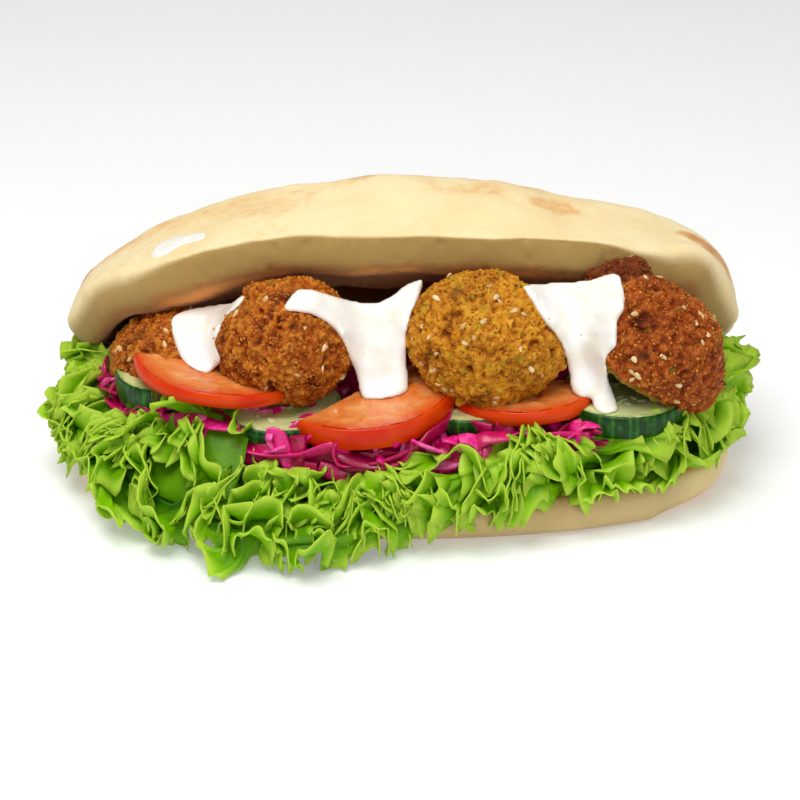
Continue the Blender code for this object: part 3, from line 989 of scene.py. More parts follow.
        # crumb marks the flap's cut face and inner side, whose colour is part crumb and part painted shade.
        crumb = np.maximum(ramp(side, edge, edge + soft) * flap, ramp(side, 0.75, 1.0))
        # The base's front rim takes 0.6 of the crumb colour: painted shade under the lettuce, not crumb.
        crumb = np.maximum(crumb, 0.6 * ramp(-y, 30, 44) * (1 - ramp(z, 12, 20)))
        # deep rises from the lip's outer edge into the pocket; the finish paints it as shade and then as warm
        # light.
        deep = ramp(side + 0.1 * grain.layered(points, 9, 2), 0.5, 1.05)
        lumps = 1.0 * grain.layered(points, 27, 2) + 0.22 * grain.layered(points, 5.5, 2)
        blister = 0.45 * ramp(grain.layered(points + 90, 11, 2), 0.25, 0.8)
        far, which = grain.lumps(points, 4.6)
        pores = -0.7 * (1 - ramp(far, 0.1, 0.42)) * (which > 0.66) * crumb
        far, which = self.fine_grain.lumps(points, 2.2)
        pores += -0.22 * (1 - ramp(far, 0.15, 0.45)) * (which > 0.6) * crumb
        rough = 0.16 * grain.layered(points, 1.6, 2) * crumb + 0.05 * grain.layered(points, 1.4, 2)
        front = self.flap[2] - self.flap[1] * np.sqrt(1 - FRONT_ROUND * np.clip(x / self.flap[0], -1, 1) ** 2)
        belly = np.exp(-(((y - front - 11) / 9) ** 2)) * ramp(side, 0.5, 1.0) * flap
        belly = belly * (1 - ramp(np.abs(x), 62, 92))
        sag = np.exp(-(((y - front - 24) / 11) ** 2) - ((x + 7) / 14) ** 2) * ramp(side, 0.8, 1.0) * flap
        push = lumps + blister * (1 - crumb) + pores + rough - 0.35 + self.belly * belly + self.sag * sag
        push = push * floor
        move_points(obj.data, points + normals * push[:, None])
        patch = ramp(grain.layered(points + 40, 24, 3), -0.05, 0.9)
        back = ramp(y, 6, 30)
        ends = ramp(np.abs(x + 4), 84, 104) * ramp(z, 30, 50)
        under = (1 - ramp(z, 0.5, 6)) * 0.7
        toast = 0.55 * patch * (0.3 + 0.7 * back) + 0.5 * ends * patch + 0.16 * back
        for at_x, at_y, wide, strong in self.scorched:
            spot = np.hypot((x - at_x) / wide, (y - at_y) / (0.55 * wide))
            spot = spot + 0.35 * grain.layered(points, 7, 2)
            toast += strong * (1 - ramp(spot, 0.5, 1.2)) * ramp(z, 40, 55)
        toast = np.maximum(toast, under * (0.5 + 0.5 * patch))
        paint(obj.data, "toast", np.clip(toast * (1 - 0.8 * crumb), 0, 1))
        paint(obj.data, "crumb", crumb)
        paint(obj.data, "deep", deep)
        far, which = self.speck_grain.lumps(points, 6.5)
        paint(obj.data, "speck", (1 - ramp(far, 0.04, 0.08)) * (which > 0.7) * 0.7)

    def build(self, finish: Material) -> Object:
        """Makes the bread.

        Args:
            finish: its crust.

        Returns:
            The finished piece.
        """
        points, faces, side = self.shell()
        points[:, 2] = np.where(points[:, 2] < 0.6, 0, points[:, 2])
        obj = object_from("flatbread", points, faces, finish)
        face_outward(obj)
        self.weather(obj, side)
        return hand_over(obj, "crust", "bread")


# ---------------------------------------------------------------- scattered grains


class GrainShape(Enum):
    """The two grain shapes that are scattered."""

    SEED = "seed"
    CRUMB = "crumb"


def grain_object(shape: GrainShape) -> Object:
    """Makes one grain, 1 mm long or across, to be copied.

    Args:
        shape: a flat teardrop seed, or a crumb with a few facets.

    Returns:
        The grain, which the scene does not keep.
    """
    bm = bmesh.new()
    bmesh.ops.create_icosphere(bm, subdivisions=2 if shape is GrainShape.SEED else 1, radius=0.5 * MM)
    for vertex in bm.verts:
        if shape is GrainShape.SEED:
            taper = 1 - 0.35 * vertex.co.x / (0.5 * MM)
            vertex.co.y *= 0.62 * taper
            vertex.co.z *= 0.34 * taper
        else:
            vertex.co *= 1 + 0.3 * noise.noise(vertex.co / MM * 2.3)
    mesh = mesh_from(shape.value, bm)
    mesh.shade_smooth()
    return new_object(shape.value, mesh)


@dataclass(frozen=True)
class Sprinkle:
    """Grains scattered over a surface by Geometry Nodes, denser where its attribute `bare` is higher."""

    name: str
    per_square_cm: float
    smallest: tuple[float, float, float]
    largest: tuple[float, float, float]
    seed: int
    tilt: float = 0.5
    full_turn: float = 6.283

    def tree(self, finish: Material) -> Tree:
        """Builds the node tree: points on faces, one turned and scaled grain on each, made real."""
        inputs = {
            "Host": "Geometry",
            "Grain": "Object",
            "Density": "Float",
            "Smallest": "Vector",
            "Largest": "Vector",
            "Seed": "Int",
        }
        tree, given = geometry_tree(self.name, inputs, "Grains")
        bare = add_node(tree, "GeometryNodeInputNamedAttribute", {"data_type": "FLOAT"}, {"Name": "bare"})
        density = maths(tree, "MULTIPLY", bare.outputs["Attribute"], given["Density"])
        points = add_node(
            tree,
            "GeometryNodeDistributePointsOnFaces",
            links={"Mesh": given["Host"], "Density": density, "Seed": given["Seed"]},
        )
        links = {"Object": given["Grain"]}
        grain = add_node(tree, "GeometryNodeObjectInfo", values={"As Instance": True}, links=links)
        size = add_node(
            tree,
            "FunctionNodeRandomValue",
            {"data_type": "FLOAT_VECTOR"},
            links={0: given["Smallest"], 1: given["Largest"], "Seed": given["Seed"]},
        )
        spin = add_node(
            tree,
            "FunctionNodeRandomValue",
            {"data_type": "FLOAT_VECTOR"},
            {0: (-self.tilt, -self.tilt, 0), 1: (self.tilt, self.tilt, self.full_turn)},
            {"Seed": given["Seed"]},
        )
        placed = add_node(
            tree,
            "GeometryNodeInstanceOnPoints",
            links={
                "Points": points.outputs["Points"],
                "Instance": grain.outputs["Geometry"],
                "Rotation": points.outputs["Rotation"],
                "Scale": size.outputs["Value"],
            },
        )
        turned = add_node(
            tree,
            "GeometryNodeRotateInstances",
            links={"Instances": placed.outputs[0], "Rotation": spin.outputs["Value"]},
        )
        end_tree(tree, turned.outputs[0], finish)
        return tree

    def build(self, host: Mesh, grain: Object, finish: Material) -> Object:
        """Scatters the grains.

        Args:
            host: the surface, with the attribute `bare`.
            grain: the grain to copy.
            finish: the grains' finish.

        Returns:
            All the grains as one mesh object.
        """
        obj = new_object(self.name, host.copy())
        wanted = {
            "Grain": grain,
            "Density": self.per_square_cm * 1e4,
            "Smallest": self.smallest,
            "Largest": self.largest,
            "Seed": self.seed,
        }
        run_tree(obj, self.tree(finish), wanted)
        bpy.data.objects.remove(grain)
        dress(obj, finish)
        return obj


def joined(objects: Sequence[Object], name: str) -> Mesh:
    """A new mesh that holds the meshes of several objects."""
    bm = bmesh.new()
    for obj in objects:
        bm.from_mesh(obj.data)
    return mesh_from(name, bm)


# ---------------------------------------------------------------- falafels


@dataclass
class Falafel:
    """One fried ball: a craggy crust with clumps, grains, pits and flecks of herb.

    `torn` is the direction its torn, uncooked underside faces, and `knobs` are crusty lumps that stick out,
    each as (x, y, z, radius).
    """

    node: str
    finish: Material
    greens: float = 0.2
    burns: float = 0.25
    seed: int = 1
    torn: tuple[float, float, float] | None = None
    knobs: tuple[tuple[float, float, float, float], ...] = ()

    def build(self) -> Object:
        """Melts the CAD ball, roughens it and paints lift, herb, burn and bare."""
        obj = soft_copy(self.node, self.node.replace("falafel", "fried_ball"), 0.4, 26, extra=self.knobs)
        points, normals = points_of(obj.data), normals_of(obj.data)
        grain = Grain(self.seed)
        clump, which = grain.lumps(points + 1.2 * grain.smooth(points, 2.5)[:, None], 3.9)
        clump = np.clip(1 - clump, 0, 1)
        small, _ = Grain(self.seed + 3).lumps(points + 0.7 * grain.smooth(points + 9, 1.1)[:, None], 1.35)
        small = np.clip(1 - small, 0, 1)
        pit = ramp(Grain(self.seed + 7).layered(points, 6.5, 3), 0.42, 0.95)
        rough = Grain(self.seed + 11).layered(points, 1.5, 3)
        lump = grain.layered(points, 10, 2)
        push = 0.6 * lump + 1.3 * (clump - 0.45) + 0.75 * (small - 0.45) + 0.6 * rough - 1.5 * pit
        if self.torn is not None:
            facing = normals @ (np.array(self.torn) / np.linalg.norm(self.torn))
            push *= 1 - 0.6 * ramp(facing, 0.7, 0.9)
        move_points(obj.data, points + normals * push[:, None])
        # lift is low in pits and high on clumps; the finish turns it into painted shade and light.
        lift = 0.5 + 0.4 * (clump - 0.5) + 0.4 * (small - 0.5) + 0.3 * rough - 0.35 * pit
        far, chosen = Grain(self.seed + 13).lumps(points + 0.9 * grain.smooth(points, 1.4)[:, None], 2.9)
        herb = (1 - ramp(far, 0.2, 0.5)) * (chosen < self.greens) * 0.55
        burn = ramp(Grain(self.seed + 17).layered(points, 8, 3), 1 - 1.6 * self.burns, 1.3) * 0.8
        # Knobs are painted dark: burnt crust, and the painted shadow that the flap casts on them.
        for x, y, z, radius in self.knobs:
            near = 1 - ramp(np.linalg.norm(points - np.array([x, y, z]), axis=1), radius * 0.9, radius * 1.7)
            burn = np.maximum(burn, 0.62 * near)
        # The torn face: a rim of raw green crumb, and a dark middle that is painted shade, as it faces down.
        if self.torn is not None:
            edge = ramp(facing, 0.35, 0.6)
            herb = np.maximum(herb, 0.8 * edge)
            burn = np.maximum(burn * (1 - edge), 0.9 * ramp(facing, 0.8, 0.97))
        paint(obj.data, "lift", np.clip(lift, 0, 1))
        paint(obj.data, "herb", herb)
        paint(obj.data, "burn", np.clip(burn, 0, 1))
        paint(obj.data, "bare", ramp(normals[:, 2] - 0.6 * normals[:, 1], -0.6, 0.5))
        dress(obj, self.finish)
        return hand_over(obj, "falafel", self.node)


def build_falafels() -> list[Object]:
    """Fries the four balls and scatters sesame and crumbs over them; returns the balls."""
    brown = FriedCrumb().build()
    rust = FriedCrumb("fried_crumb_rust", body="9c4208", crest="cc742a").build()
    golden = FriedCrumb("fried_crumb_golden", "86470a", "ca8212", "e8b036", "8a8a14").build()
    balls = [
        Falafel("falafel_left", brown, greens=0.3, seed=3).build(),
        Falafel("falafel_mid_left", brown, greens=0.12, seed=23).build(),
        Falafel("falafel_mid_right", golden, greens=0.34, burns=0.12, seed=43).build(),
        Falafel(
            "falafel_right",
            rust,
            greens=0.05,
            seed=63,
            torn=(-0.588, 0, -0.809),
            knobs=((64, -18, 70.5, 5.5), (70, -17, 72, 5.0), (59, -17, 69.5, 3.6)),
        ).build(),
    ]
    host = joined(balls, "crusts")
    seeds = Sprinkle("sesame_seeds", 0.85, (2.3, 2.1, 1.6), (3.3, 3.0, 2.6), 4)
    hand_over(seeds.build(host, grain_object(GrainShape.SEED), SesameHull().build()), "falafel")
    crumbs = Sprinkle("fried_crumbs", 42, (0.35, 0.35, 0.3), (1.4, 1.2, 0.9), 8)
    loose = FriedCrumb("fried_crumb_loose", body="b86410", crest="e09a3c").build()
    crumb = crumbs.build(host, grain_object(GrainShape.CRUMB), loose)
    rng = np.random.default_rng(6)
    count = len(crumb.data.vertices)
    paint(crumb.data, "lift", np.repeat(rng.uniform(0.2, 1.0, count // 12 + 1), 12)[:count])
    hand_over(crumb, "falafel")
    return balls


# ---------------------------------------------------------------- sauce


@dataclass
class Pour:
    """A thick pour of white sauce, draped over whatever lies under its outline.

    The outline is in the plane through `plane_at` that leans back by `lean` degrees: (across, up) in
    millimetres. The sauce falls on what it meets straight behind that plane, bridges the gaps, and is
    `body` thick, and `under` more below, with a round edge. `start` is how far in front of the plane the
    fall begins, and `calm` is the rounds of levelling.
    """

    name: str
    outline: tuple[tuple[float, float], ...]
    nodes: tuple[str, ...] = ()
    body: float = 2.4
    under: float = 1.6
    edge: float = 3.2
    pitch: float = 0.55
    lean: float = 25.0
    plane_at: tuple[float, float, float] = (0.0, -10.0, 44.0)
    calm: int = 60
    start: float = 90.0
    melt_size: float = 0.5
    grain: Grain = field(default_factory=lambda: Grain(31))

    def smooth_outline(self) -> Array:
        """The outline as a fine closed curve."""
        p = np.array(self.outline, dtype=float)
        near = np.roll(p, 1, 0), p, np.roll(p, -1, 0), np.roll(p, -2, 0)
        fine = [curve_point(*near, t) for t in np.linspace(0, 1, 8, endpoint=False)]
        return np.stack(fine, axis=1).reshape(-1, 2)

    def inside(self, where: Array, curve: Array) -> Array:
        """How far inside the outline each point lies, in millimetres; negative outside."""
        ahead = np.roll(curve, -1, 0)
        side = ahead - curve
        best = np.full(len(where), 1e9)
        crossed = np.zeros(len(where), dtype=bool)
        for start, step in zip(curve, side):
            rel = where - start
            t = np.clip(rel @ step / max(step @ step, 1e-9), 0, 1)
            best = np.minimum(best, np.linalg.norm(rel - t[:, None] * step, axis=1))
            spans = (start[1] > where[:, 1]) != (start[1] + step[1] > where[:, 1])
            if abs(step[1]) > 1e-9:
                crossed ^= spans & (where[:, 0] < start[0] + step[0] * rel[:, 1] / step[1])
        return np.where(crossed, best, -best)

    def fall(self, starts: Array, ahead: Array, inner: Array, hosts: Sequence[Object]) -> Array:
        """How far the sauce falls at each place.

        Args:
            starts: the grid of points it falls from, in millimetres.
            ahead: the direction it falls in.
            inner: true where there is sauce.
            hosts: the pieces that it lies on.

        Returns:
            The distance at each grid point, no more than 9 mm beyond where the nearer pieces lie.
        """
        depth = np.full(inner.shape, np.nan)
        for i, j in zip(*np.nonzero(inner)):
            for host in hosts:
                hit, place, _, _ = host.ray_cast(Vector(starts[i, j]) * MM, Vector(ahead))
                if hit:
                    far = float((np.array(place) / MM - starts[i, j]) @ ahead)
                    depth[i, j] = far if np.isnan(depth[i, j]) else min(far, depth[i, j])
        deepest = np.percentile(depth[~np.isnan(depth)], 30) + 9
        return np.where(np.isnan(depth), deepest, np.minimum(depth, deepest))

    def calmed(self, depth: Array, inner: Array) -> Array:
        """The same distances with the hollows bridged, as a thick sauce does."""
        front = depth.copy()
        for _ in range(self.calm):
            padded = np.pad(np.where(inner, front, np.nan), 1, constant_values=np.nan)
            near = np.stack([padded[:-2, 1:-1], padded[2:, 1:-1], padded[1:-1, :-2], padded[1:-1, 2:]])
            mean = np.nanmean(np.where(np.isnan(near), front[None], near), axis=0)
            front = np.where(inner, np.minimum(mean, depth + 0.5), front)
        return front

    def build(self, finish: Material, hosts: Sequence[Object]) -> Object:
        """Drapes the sauce.

        Args:
            finish: the sauce.
            hosts: the pieces that it lies on.

        Returns:
            The finished piece.
        """
        curve = self.smooth_outline()
        low, high = curve.min(axis=0) - 1, curve.max(axis=0) + 1
        us = np.arange(low[0], high[0], self.pitch)
        vs = np.arange(low[1], high[1], self.pitch)
        where = np.stack(np.meshgrid(us, vs, indexing="ij"), axis=-1)
        gap = self.inside(where.reshape(-1, 2), curve).reshape(where.shape[:2])
        lean = math.radians(self.lean)
        ahead = np.array([0.0, math.cos(lean), -math.sin(lean)])
        upward = np.array([0.0, math.sin(lean), math.cos(lean)])
        origin = np.array(self.plane_at) + where[..., :1] * np.array([1.0, 0, 0]) + where[..., 1:] * upward
        inner = gap > -0.8
        front = self.calmed(self.fall(origin - self.start * ahead, ahead, inner, hosts), inner)
        round_edge = np.clip(gap / self.edge, 0, 1)
        swell = self.body * np.sqrt(np.clip(1 - (1 - round_edge) ** 2, 0, 1))
        spots = origin + front[..., None] * ahead
        swell = swell * (1 + 0.16 * self.grain.layered(spots, 8, 2))
        face = origin + (front - self.start - swell)[..., None] * ahead
        rear = origin + (front - self.start + self.under)[..., None] * ahead
        keep = gap > -0.1
        count = int(keep.sum())
        number = np.full(gap.shape, -1)
        number[keep] = np.arange(count)
        cells = grid_faces(number)
        cells = cells[(cells >= 0).all(axis=1)]
        faces = [tuple(c) for c in cells.tolist() + (cells[:, ::-1] + count).tolist()]
        # A wall joins face and rear along each side that only one cell has.
        sides = {(a, b): None for cell in cells.tolist() for a, b in zip(cell, cell[1:] + cell[:1])}
        faces += [(b, a, a + count, b + count) for a, b in sides if (b, a) not in sides]
        obj = object_from(self.name, np.concatenate([face[keep], rear[keep]]), faces, finish)
        melt(obj, self.melt_size, 9)
        dress(obj, finish)
        return hand_over(obj, "sauce", *self.nodes)


POURS = (
    Pour(
        "pour_left",
        ((-71.3, 6), (-71, 8.6), (-68, 10.6), (-62, 12), (-57, 12.7), (-52, 13), (-48, 15), (-47, 14),
         (-49.7, 10.6), (-52.7, 8.6), (-54.6, 4.5), (-56.2, 0), (-54.4, -4.5), (-56.7, -7), (-59, -8.7),
         (-61.5, -8.2), (-65.8, -6), (-68.5, -3), (-70.3, 1.5)),
        ("sauce_left",),
    ),
    Pour(
        "pour_mid",
        ((-35, 10.5), (-32, 16), (-30, 17), (-25.8, 16.4), (-18.8, 14.4), (-12, 13), (-7.5, 13), (-3, 15.2),
         (1.5, 18.5), (5.5, 20), (6.7, 19.4), (5.5, 15), (3, 9), (1.5, 3), (1.5, -4.5), (2, -10.5),
         (1.8, -14), (-3, -16), (-9, -16.5), (-12.4, -15.5), (-14, -9), (-15.8, -4.5), (-18.2, 1.5),
         (-21.8, 6), (-27.3, 9)),
        ("sauce_mid",),
        2.8,
    ),
    Pour(
        "pour_right",
        ((36, 17.5), (39.4, 18.4), (47.5, 19), (56.5, 19.7), (62, 21.5), (65.3, 21), (66.2, 17.5), (66, 11),
         (64, 7), (63.6, 0), (61.2, -3.5), (61.8, -8.5), (64, -14.5), (65.2, -19), (64, -20.3), (60, -20.8),
         (57.8, -19.4), (57, -16.4), (53, -15.5), (51, -13), (50.6, -9), (49.3, -4), (46.7, 1.5), (42, 7),
         (37.7, 14)),
        ("sauce_right",),
        2.6,
    ),
)
# A thin white patch on the flap's left rim, made with the sauce finish.
SMEAR = Pour(
    "sauce_smear",
    ((-78, 28.8), (-75, 32.4), (-69, 34.3), (-62, 35), (-59.7, 34), (-62, 31.8), (-68, 30.3), (-74, 26.8),
     (-77.4, 26.7)),
    body=0.7,
    edge=2.4,
    pitch=0.5,
    calm=4,
)


# ---------------------------------------------------------------- tomato and cucumber slices


class Fruit(Enum):
    """What a slice is cut from; the value is its material slot."""

    TOMATO = "tomato"
    CUCUMBER = "cucumber"


@dataclass
class Slice:
    """A round slice, or a half slice whose straight cut runs at `chord` degrees.

    `roll` tips its right side down and `pitch` its front. The outline has `steps` points, `arc_share` of
    them on a half slice's arc, and each cut face has `rings` of them.
    """

    node: str
    fruit: Fruit
    at: tuple[float, float, float]
    radius: float
    thick: float
    chord: float | None = None
    roll: float = 0.0
    pitch: float = 0.0
    steps: int = 132
    rings: int = 26
    arc_share: float = 0.62
    corner: float = 0.9

    def outline(self) -> tuple[Array, Array, Array]:
        """The flat outline.

        Returns:
            The outline's points, the middle that the faces close in on, and 1 where the point has skin.
        """
        if self.chord is None:
            angles = np.linspace(0, 2 * math.pi, self.steps, endpoint=False)
            circle = self.radius * np.stack([np.cos(angles), np.sin(angles)], 1)
            return circle, np.zeros(2), np.ones(self.steps)
        start = math.radians(self.chord - 180)
        arc_count = int(self.steps * self.arc_share)
        angles = start + np.linspace(0, math.pi, arc_count)
        arc = self.radius * np.stack([np.cos(angles), np.sin(angles)], 1)
        share = np.linspace(0, 1, self.steps - arc_count + 2)[1:-1, None]
        straight = arc[-1] * (1 - share) + arc[0] * share
        middle = 0.4 * self.radius * np.array([math.cos(start + math.pi / 2), math.sin(start + math.pi / 2)])
        skinned = np.concatenate([np.ones(arc_count), np.zeros(len(straight))])
        return np.concatenate([arc, straight]), middle, skinned

    def profile(self) -> list[tuple[float, float, float]]:
        """The slice's section, from the middle of its top round to the middle of its underside.

        Returns:
            For each ring of points its share of the outline, its height, and how far it is moved out.
        """
        half = self.thick / 2
        flat = np.linspace(0.04, 0.965, self.rings)
        bend = np.linspace(0, math.pi / 2, 5)
        drop = [self.corner * (1 - math.cos(angle)) for angle in bend]
        tuck = [-self.corner * (1 - math.sin(angle)) for angle in bend]
        rows = [(share, half, 0.0) for share in flat]
        rows += [(1.0, half - down, back) for down, back in zip(drop, tuck)]
        for level in np.linspace(half - self.corner, -half + self.corner, 7)[1:-1]:
            rows.append((1.0, level, 0.35 * (1 - (level / half) ** 2)))
        rows += [(1.0, -half + down, back) for down, back in zip(drop[::-1], tuck[::-1])]
        return rows + [(share, -half, 0.0) for share in flat[::-1]]

    def build(self, skin: Material, flesh: Material) -> Object:
        """Makes the slice.

        Args:
            skin: the finish of the outer wall.
            flesh: the finish of the cut faces.

        Returns:
            The finished piece.
        """
        outline, middle, skinned = self.outline()
        steps = len(outline)
        rows = self.profile()
        outward = (outline - middle) / np.linalg.norm(outline - middle, axis=1, keepdims=True)
        blocks = []
        for share, level, out in rows:
            flat = middle + (outline - middle) * share + outward * out
            blocks.append(np.column_stack([flat, np.full(steps, level)]))
        points = np.concatenate(blocks)
        faces = [tuple(range(steps)), tuple(range(len(points) - steps, len(points)))[::-1]]
        walls = []
        for row in range(len(rows) - 1):
            is_wall = rows[row][0] == 1.0 and rows[row + 1][0] == 1.0
            here, below = row * steps, (row + 1) * steps
            for k in range(steps):
                after = (k + 1) % steps
                faces.append((here + k, below + k, below + after, here + after))
                walls.append(is_wall and bool(skinned[k]) and bool(skinned[after]))
        radial = np.linalg.norm(points[:, :2], axis=1) / self.radius
        depth = np.clip(1 - radial, 0, 1)
        name = self.node.replace("_", "_slice_", 1)
        grain = Grain(len(name) * 7)
        top = np.abs(points[:, 2]) > self.thick / 2 - 0.01
        sign = np.sign(points[:, 2])
        if self.fruit is Fruit.TOMATO:
            hollow = ramp(grain.layered(points, 9, 2), 0.0, 0.5) * ramp(depth, 0.26, 0.36)
            relief_mm = 0.25 * grain.layered(points, 3, 2) - 1.1 * hollow
        else:
            relief_mm = 0.12 * grain.layered(points, 2.2, 2) - 0.5 * ramp(depth, 0.4, 0.6)
        points[:, 2] += np.where(top, sign * relief_mm, 0)
        points[:, 2] += 0.5 * grain.layered(points, 15, 2)
        angle = np.arctan2(points[:, 1], points[:, 0])
        turn = Matrix.Rotation(math.radians(self.roll), 3, "Y")
        turn = turn @ Matrix.Rotation(math.radians(self.pitch), 3, "X")
        placed = points @ np.array(turn).T + np.array(self.at)
        obj = object_from(name, placed, faces, flesh)
        obj.data.materials.append(skin)
        numbers = [0, 0] + [1 if wall else 0 for wall in walls]
        obj.data.polygons.foreach_set("material_index", numbers)
        paint(obj.data, "depth", depth)
        paint(obj.data, "round", angle * self.radius)
        seeded = ramp(depth, 0.36, 0.45) * (1 - ramp(depth, 0.8, 0.9))
        paint(obj.data, "bare", np.where(top & (sign > 0), seeded, 0))
        face_outward(obj)
        return hand_over(obj, self.fruit.value, self.node)


def build_slices() -> list[Object]:
    """Cuts the three tomato and four cucumber slices, with the cucumber's seeds; returns the slices."""
    tomato, cucumber = Fruit.TOMATO, Fruit.CUCUMBER
    skin, flesh = TomatoSkin().build(), TomatoFlesh().build()
    cuts = (
        Slice("tomato_left", tomato, (-55.5, -19, 42), 27, 4.6, 8, 6),
        Slice("tomato_mid", tomato, (-10.5, -28, 35.3), 27, 7.2, 40, -6, 3),
        Slice("tomato_right", tomato, (37, -24, 36.3), 23, 4.8, -5, -4),
    )
    red = [cut.build(skin, flesh) for cut in cuts]
    skin, flesh = CucumberSkin().build(), CucumberFlesh().build()
    cuts = (
        Slice("cucumber_left", cucumber, (-69, -15.5, 36), 20, 8.5, 250, -2),
        Slice("cucumber_mid_left", cucumber, (-38, -28, 31.2), 20, 5, None, 0, 2),
        Slice("cucumber_mid_right", cucumber, (22, -28, 32), 17, 5, None, -3),
        Slice("cucumber_right", cucumber, (68.5, -26, 33.5), 20, 7.5, None, -2, 2),
    )
    green = [cut.build(skin, flesh) for cut in cuts]
    seeds = Sprinkle("cucumber_seeds", 6, (3.0, 3.0, 1.6), (4.2, 4.0, 2.2), 3)
    pale = SesameHull("dfe6b4", "c9d592").build()
    hand_over(seeds.build(joined(green, "cuts"), grain_object(GrainShape.SEED), pale), "cucumber")
    return red + green


# ---------------------------------------------------------------- red cabbage


@dataclass
class CabbageHeap:
    """A loose heap of pickled shreds over a smaller core of the same leaf, whose dark colour is painted shade
    between the shreds.
    """

    half_length: float = 94.0
    half_depth: float = 50.0
    shift: float = -3.0
    shreds: int = 250
    width: float = 2.6
    thickness: float = 0.75
    stride: float = 2.2
    lowest: float = 19.5
    highest: float = 33.0
    seed: int = 12
    grain: Grain = field(default_factory=lambda: Grain(51))

    def paths(self) -> Object:
        """One curve object that holds a path for each shred, with its taper and twist."""
        rng = np.random.default_rng(self.seed)
        curve = bpy.data.curves.new("shred_paths", "CURVE")
        curve.dimensions = "3D"
        for _ in range(self.shreds):
            theta = math.radians(rng.uniform(165, 385))
            inset = 1 - 0.42 * rng.uniform(0, 1) ** 1.6
            here = np.array([
                self.half_length * inset * math.cos(theta),
                self.shift + self.half_depth * inset * math.sin(theta),
                rng.uniform(21.5, 32.0) - 3.5 * ramp(np.array(inset), 0.9, 1.0),
            ])
            along = np.array([-self.half_length * math.sin(theta), self.half_depth * math.cos(theta), 0.0])
            heading = along / np.linalg.norm(along) * rng.choice([-1, 1])
            heading += np.array([*rng.normal(0, 0.55, 2), rng.normal(0, 0.16)])
            count = int(rng.integers(9, 19))
            bend = rng.normal(0, 0.16)
            lean = rng.normal(0, 0.07)
            trail = []
            for k in range(count):
                trail.append(here.copy())
                c, s = math.cos(bend), math.sin(bend)
                x, y, z = heading
                heading = np.array([c * x - s * y, s * x + c * y, z + lean])
                heading /= np.linalg.norm(heading)
                bend = 0.8 * bend + rng.normal(0, 0.11)
                lean = 0.7 * lean + rng.normal(0, 0.05) - 0.05 * (here[2] - 28) / 5
                here = here + heading * self.stride
                reach = math.hypot(here[0] / self.half_length, (here[1] - self.shift) / self.half_depth)
                if reach > 1.0:
                    here[:2] *= 1 - 0.7 * (reach - 1.0)
                here[2] = min(max(here[2], self.lowest), self.highest)
            spline = curve.splines.new("POLY")
            spline.points.add(count - 1)
            wide = rng.uniform(0.65, 1.5)
            twist = rng.normal(0, 0.8)
            turn = rng.normal(0, 0.12)
            for k, (point, place) in enumerate(zip(spline.points, trail)):
                point.co = (*(place * MM), 1)
                taper = min(1.0, 0.35 + 0.3 * k, 0.35 + 0.3 * (count - 1 - k))
                point.radius = wide * taper
                point.tilt = twist + turn * k
        return new_object("shred_paths", curve)

    def tree(self, finish: Material) -> Tree:
        """Builds the node tree that carries a flat oval section along each path."""
        inputs = {"Base": "Geometry", "Paths": "Object", "Section": "Vector", "Seed": "Int"}
        tree, given = geometry_tree("cabbage_shreds", inputs, "Shreds")
        paths = add_node(tree, "GeometryNodeObjectInfo", links={"Object": given["Paths"]})
        finer = add_node(
            tree,
            "GeometryNodeResampleCurve",
            {"mode": "LENGTH"},
            {"Length": 1.3 * MM},
            {"Curve": paths.outputs["Geometry"]},
        )
        links = {"Seed": given["Seed"]}
        chance = add_node(tree, "FunctionNodeRandomValue", {"data_type": "FLOAT"}, links=links)
        toned = add_node(
            tree,
            "GeometryNodeStoreNamedAttribute",
            {"data_type": "FLOAT", "domain": "CURVE"},
            {"Name": "tone"},
            {"Geometry": finer.outputs[0], "Value": chance.outputs[1]},
        )
        circle = add_node(tree, "GeometryNodeCurvePrimitiveCircle", values={"Resolution": 8, "Radius": 1.0})
        links = {"Geometry": circle.outputs[0], "Scale": given["Section"]}
        section = add_node(tree, "GeometryNodeTransform", links=links)
        swept = add_node(
            tree,
            "GeometryNodeCurveToMesh",
            values={"Fill Caps": True},
            links={"Curve": toned.outputs[0], "Profile Curve": section.outputs[0]},
        )
        end_tree(tree, swept.outputs[0], finish)
        return tree

    def build(self, finish: Material) -> None:
        """Makes the core, in the dark tones of painted shade, and the shreds."""
        core = soft_copy("red_cabbage", "cabbage_core", 1.0, 6, swell=-1.6)
        points, normals = points_of(core.data), normals_of(core.data)
        lumps = self.grain.layered(points, 7, 3)
        move_points(core.data, points + normals * (0.9 * lumps)[:, None])
        # The core takes the lowest tones, the dark shade colour: painted shade in the gaps between shreds.
        paint(core.data, "tone", np.clip(0.12 + 0.12 * lumps, 0, 1))
        dress(core, finish)
        hand_over(core, "cabbage", "red_cabbage")
        shreds = new_object("cabbage_shreds", bpy.data.meshes.new("cabbage_shreds"))
        paths = self.paths()
        section = (self.width * MM, self.thickness * MM, 1.0)
        run_tree(shreds, self.tree(finish), {"Paths": paths, "Section": section, "Seed": self.seed})
        bpy.data.objects.remove(paths)
        dress(shreds, finish)
        face_outward(shreds)
        hand_over(shreds, "cabbage")


# ---------------------------------------------------------------- lettuce


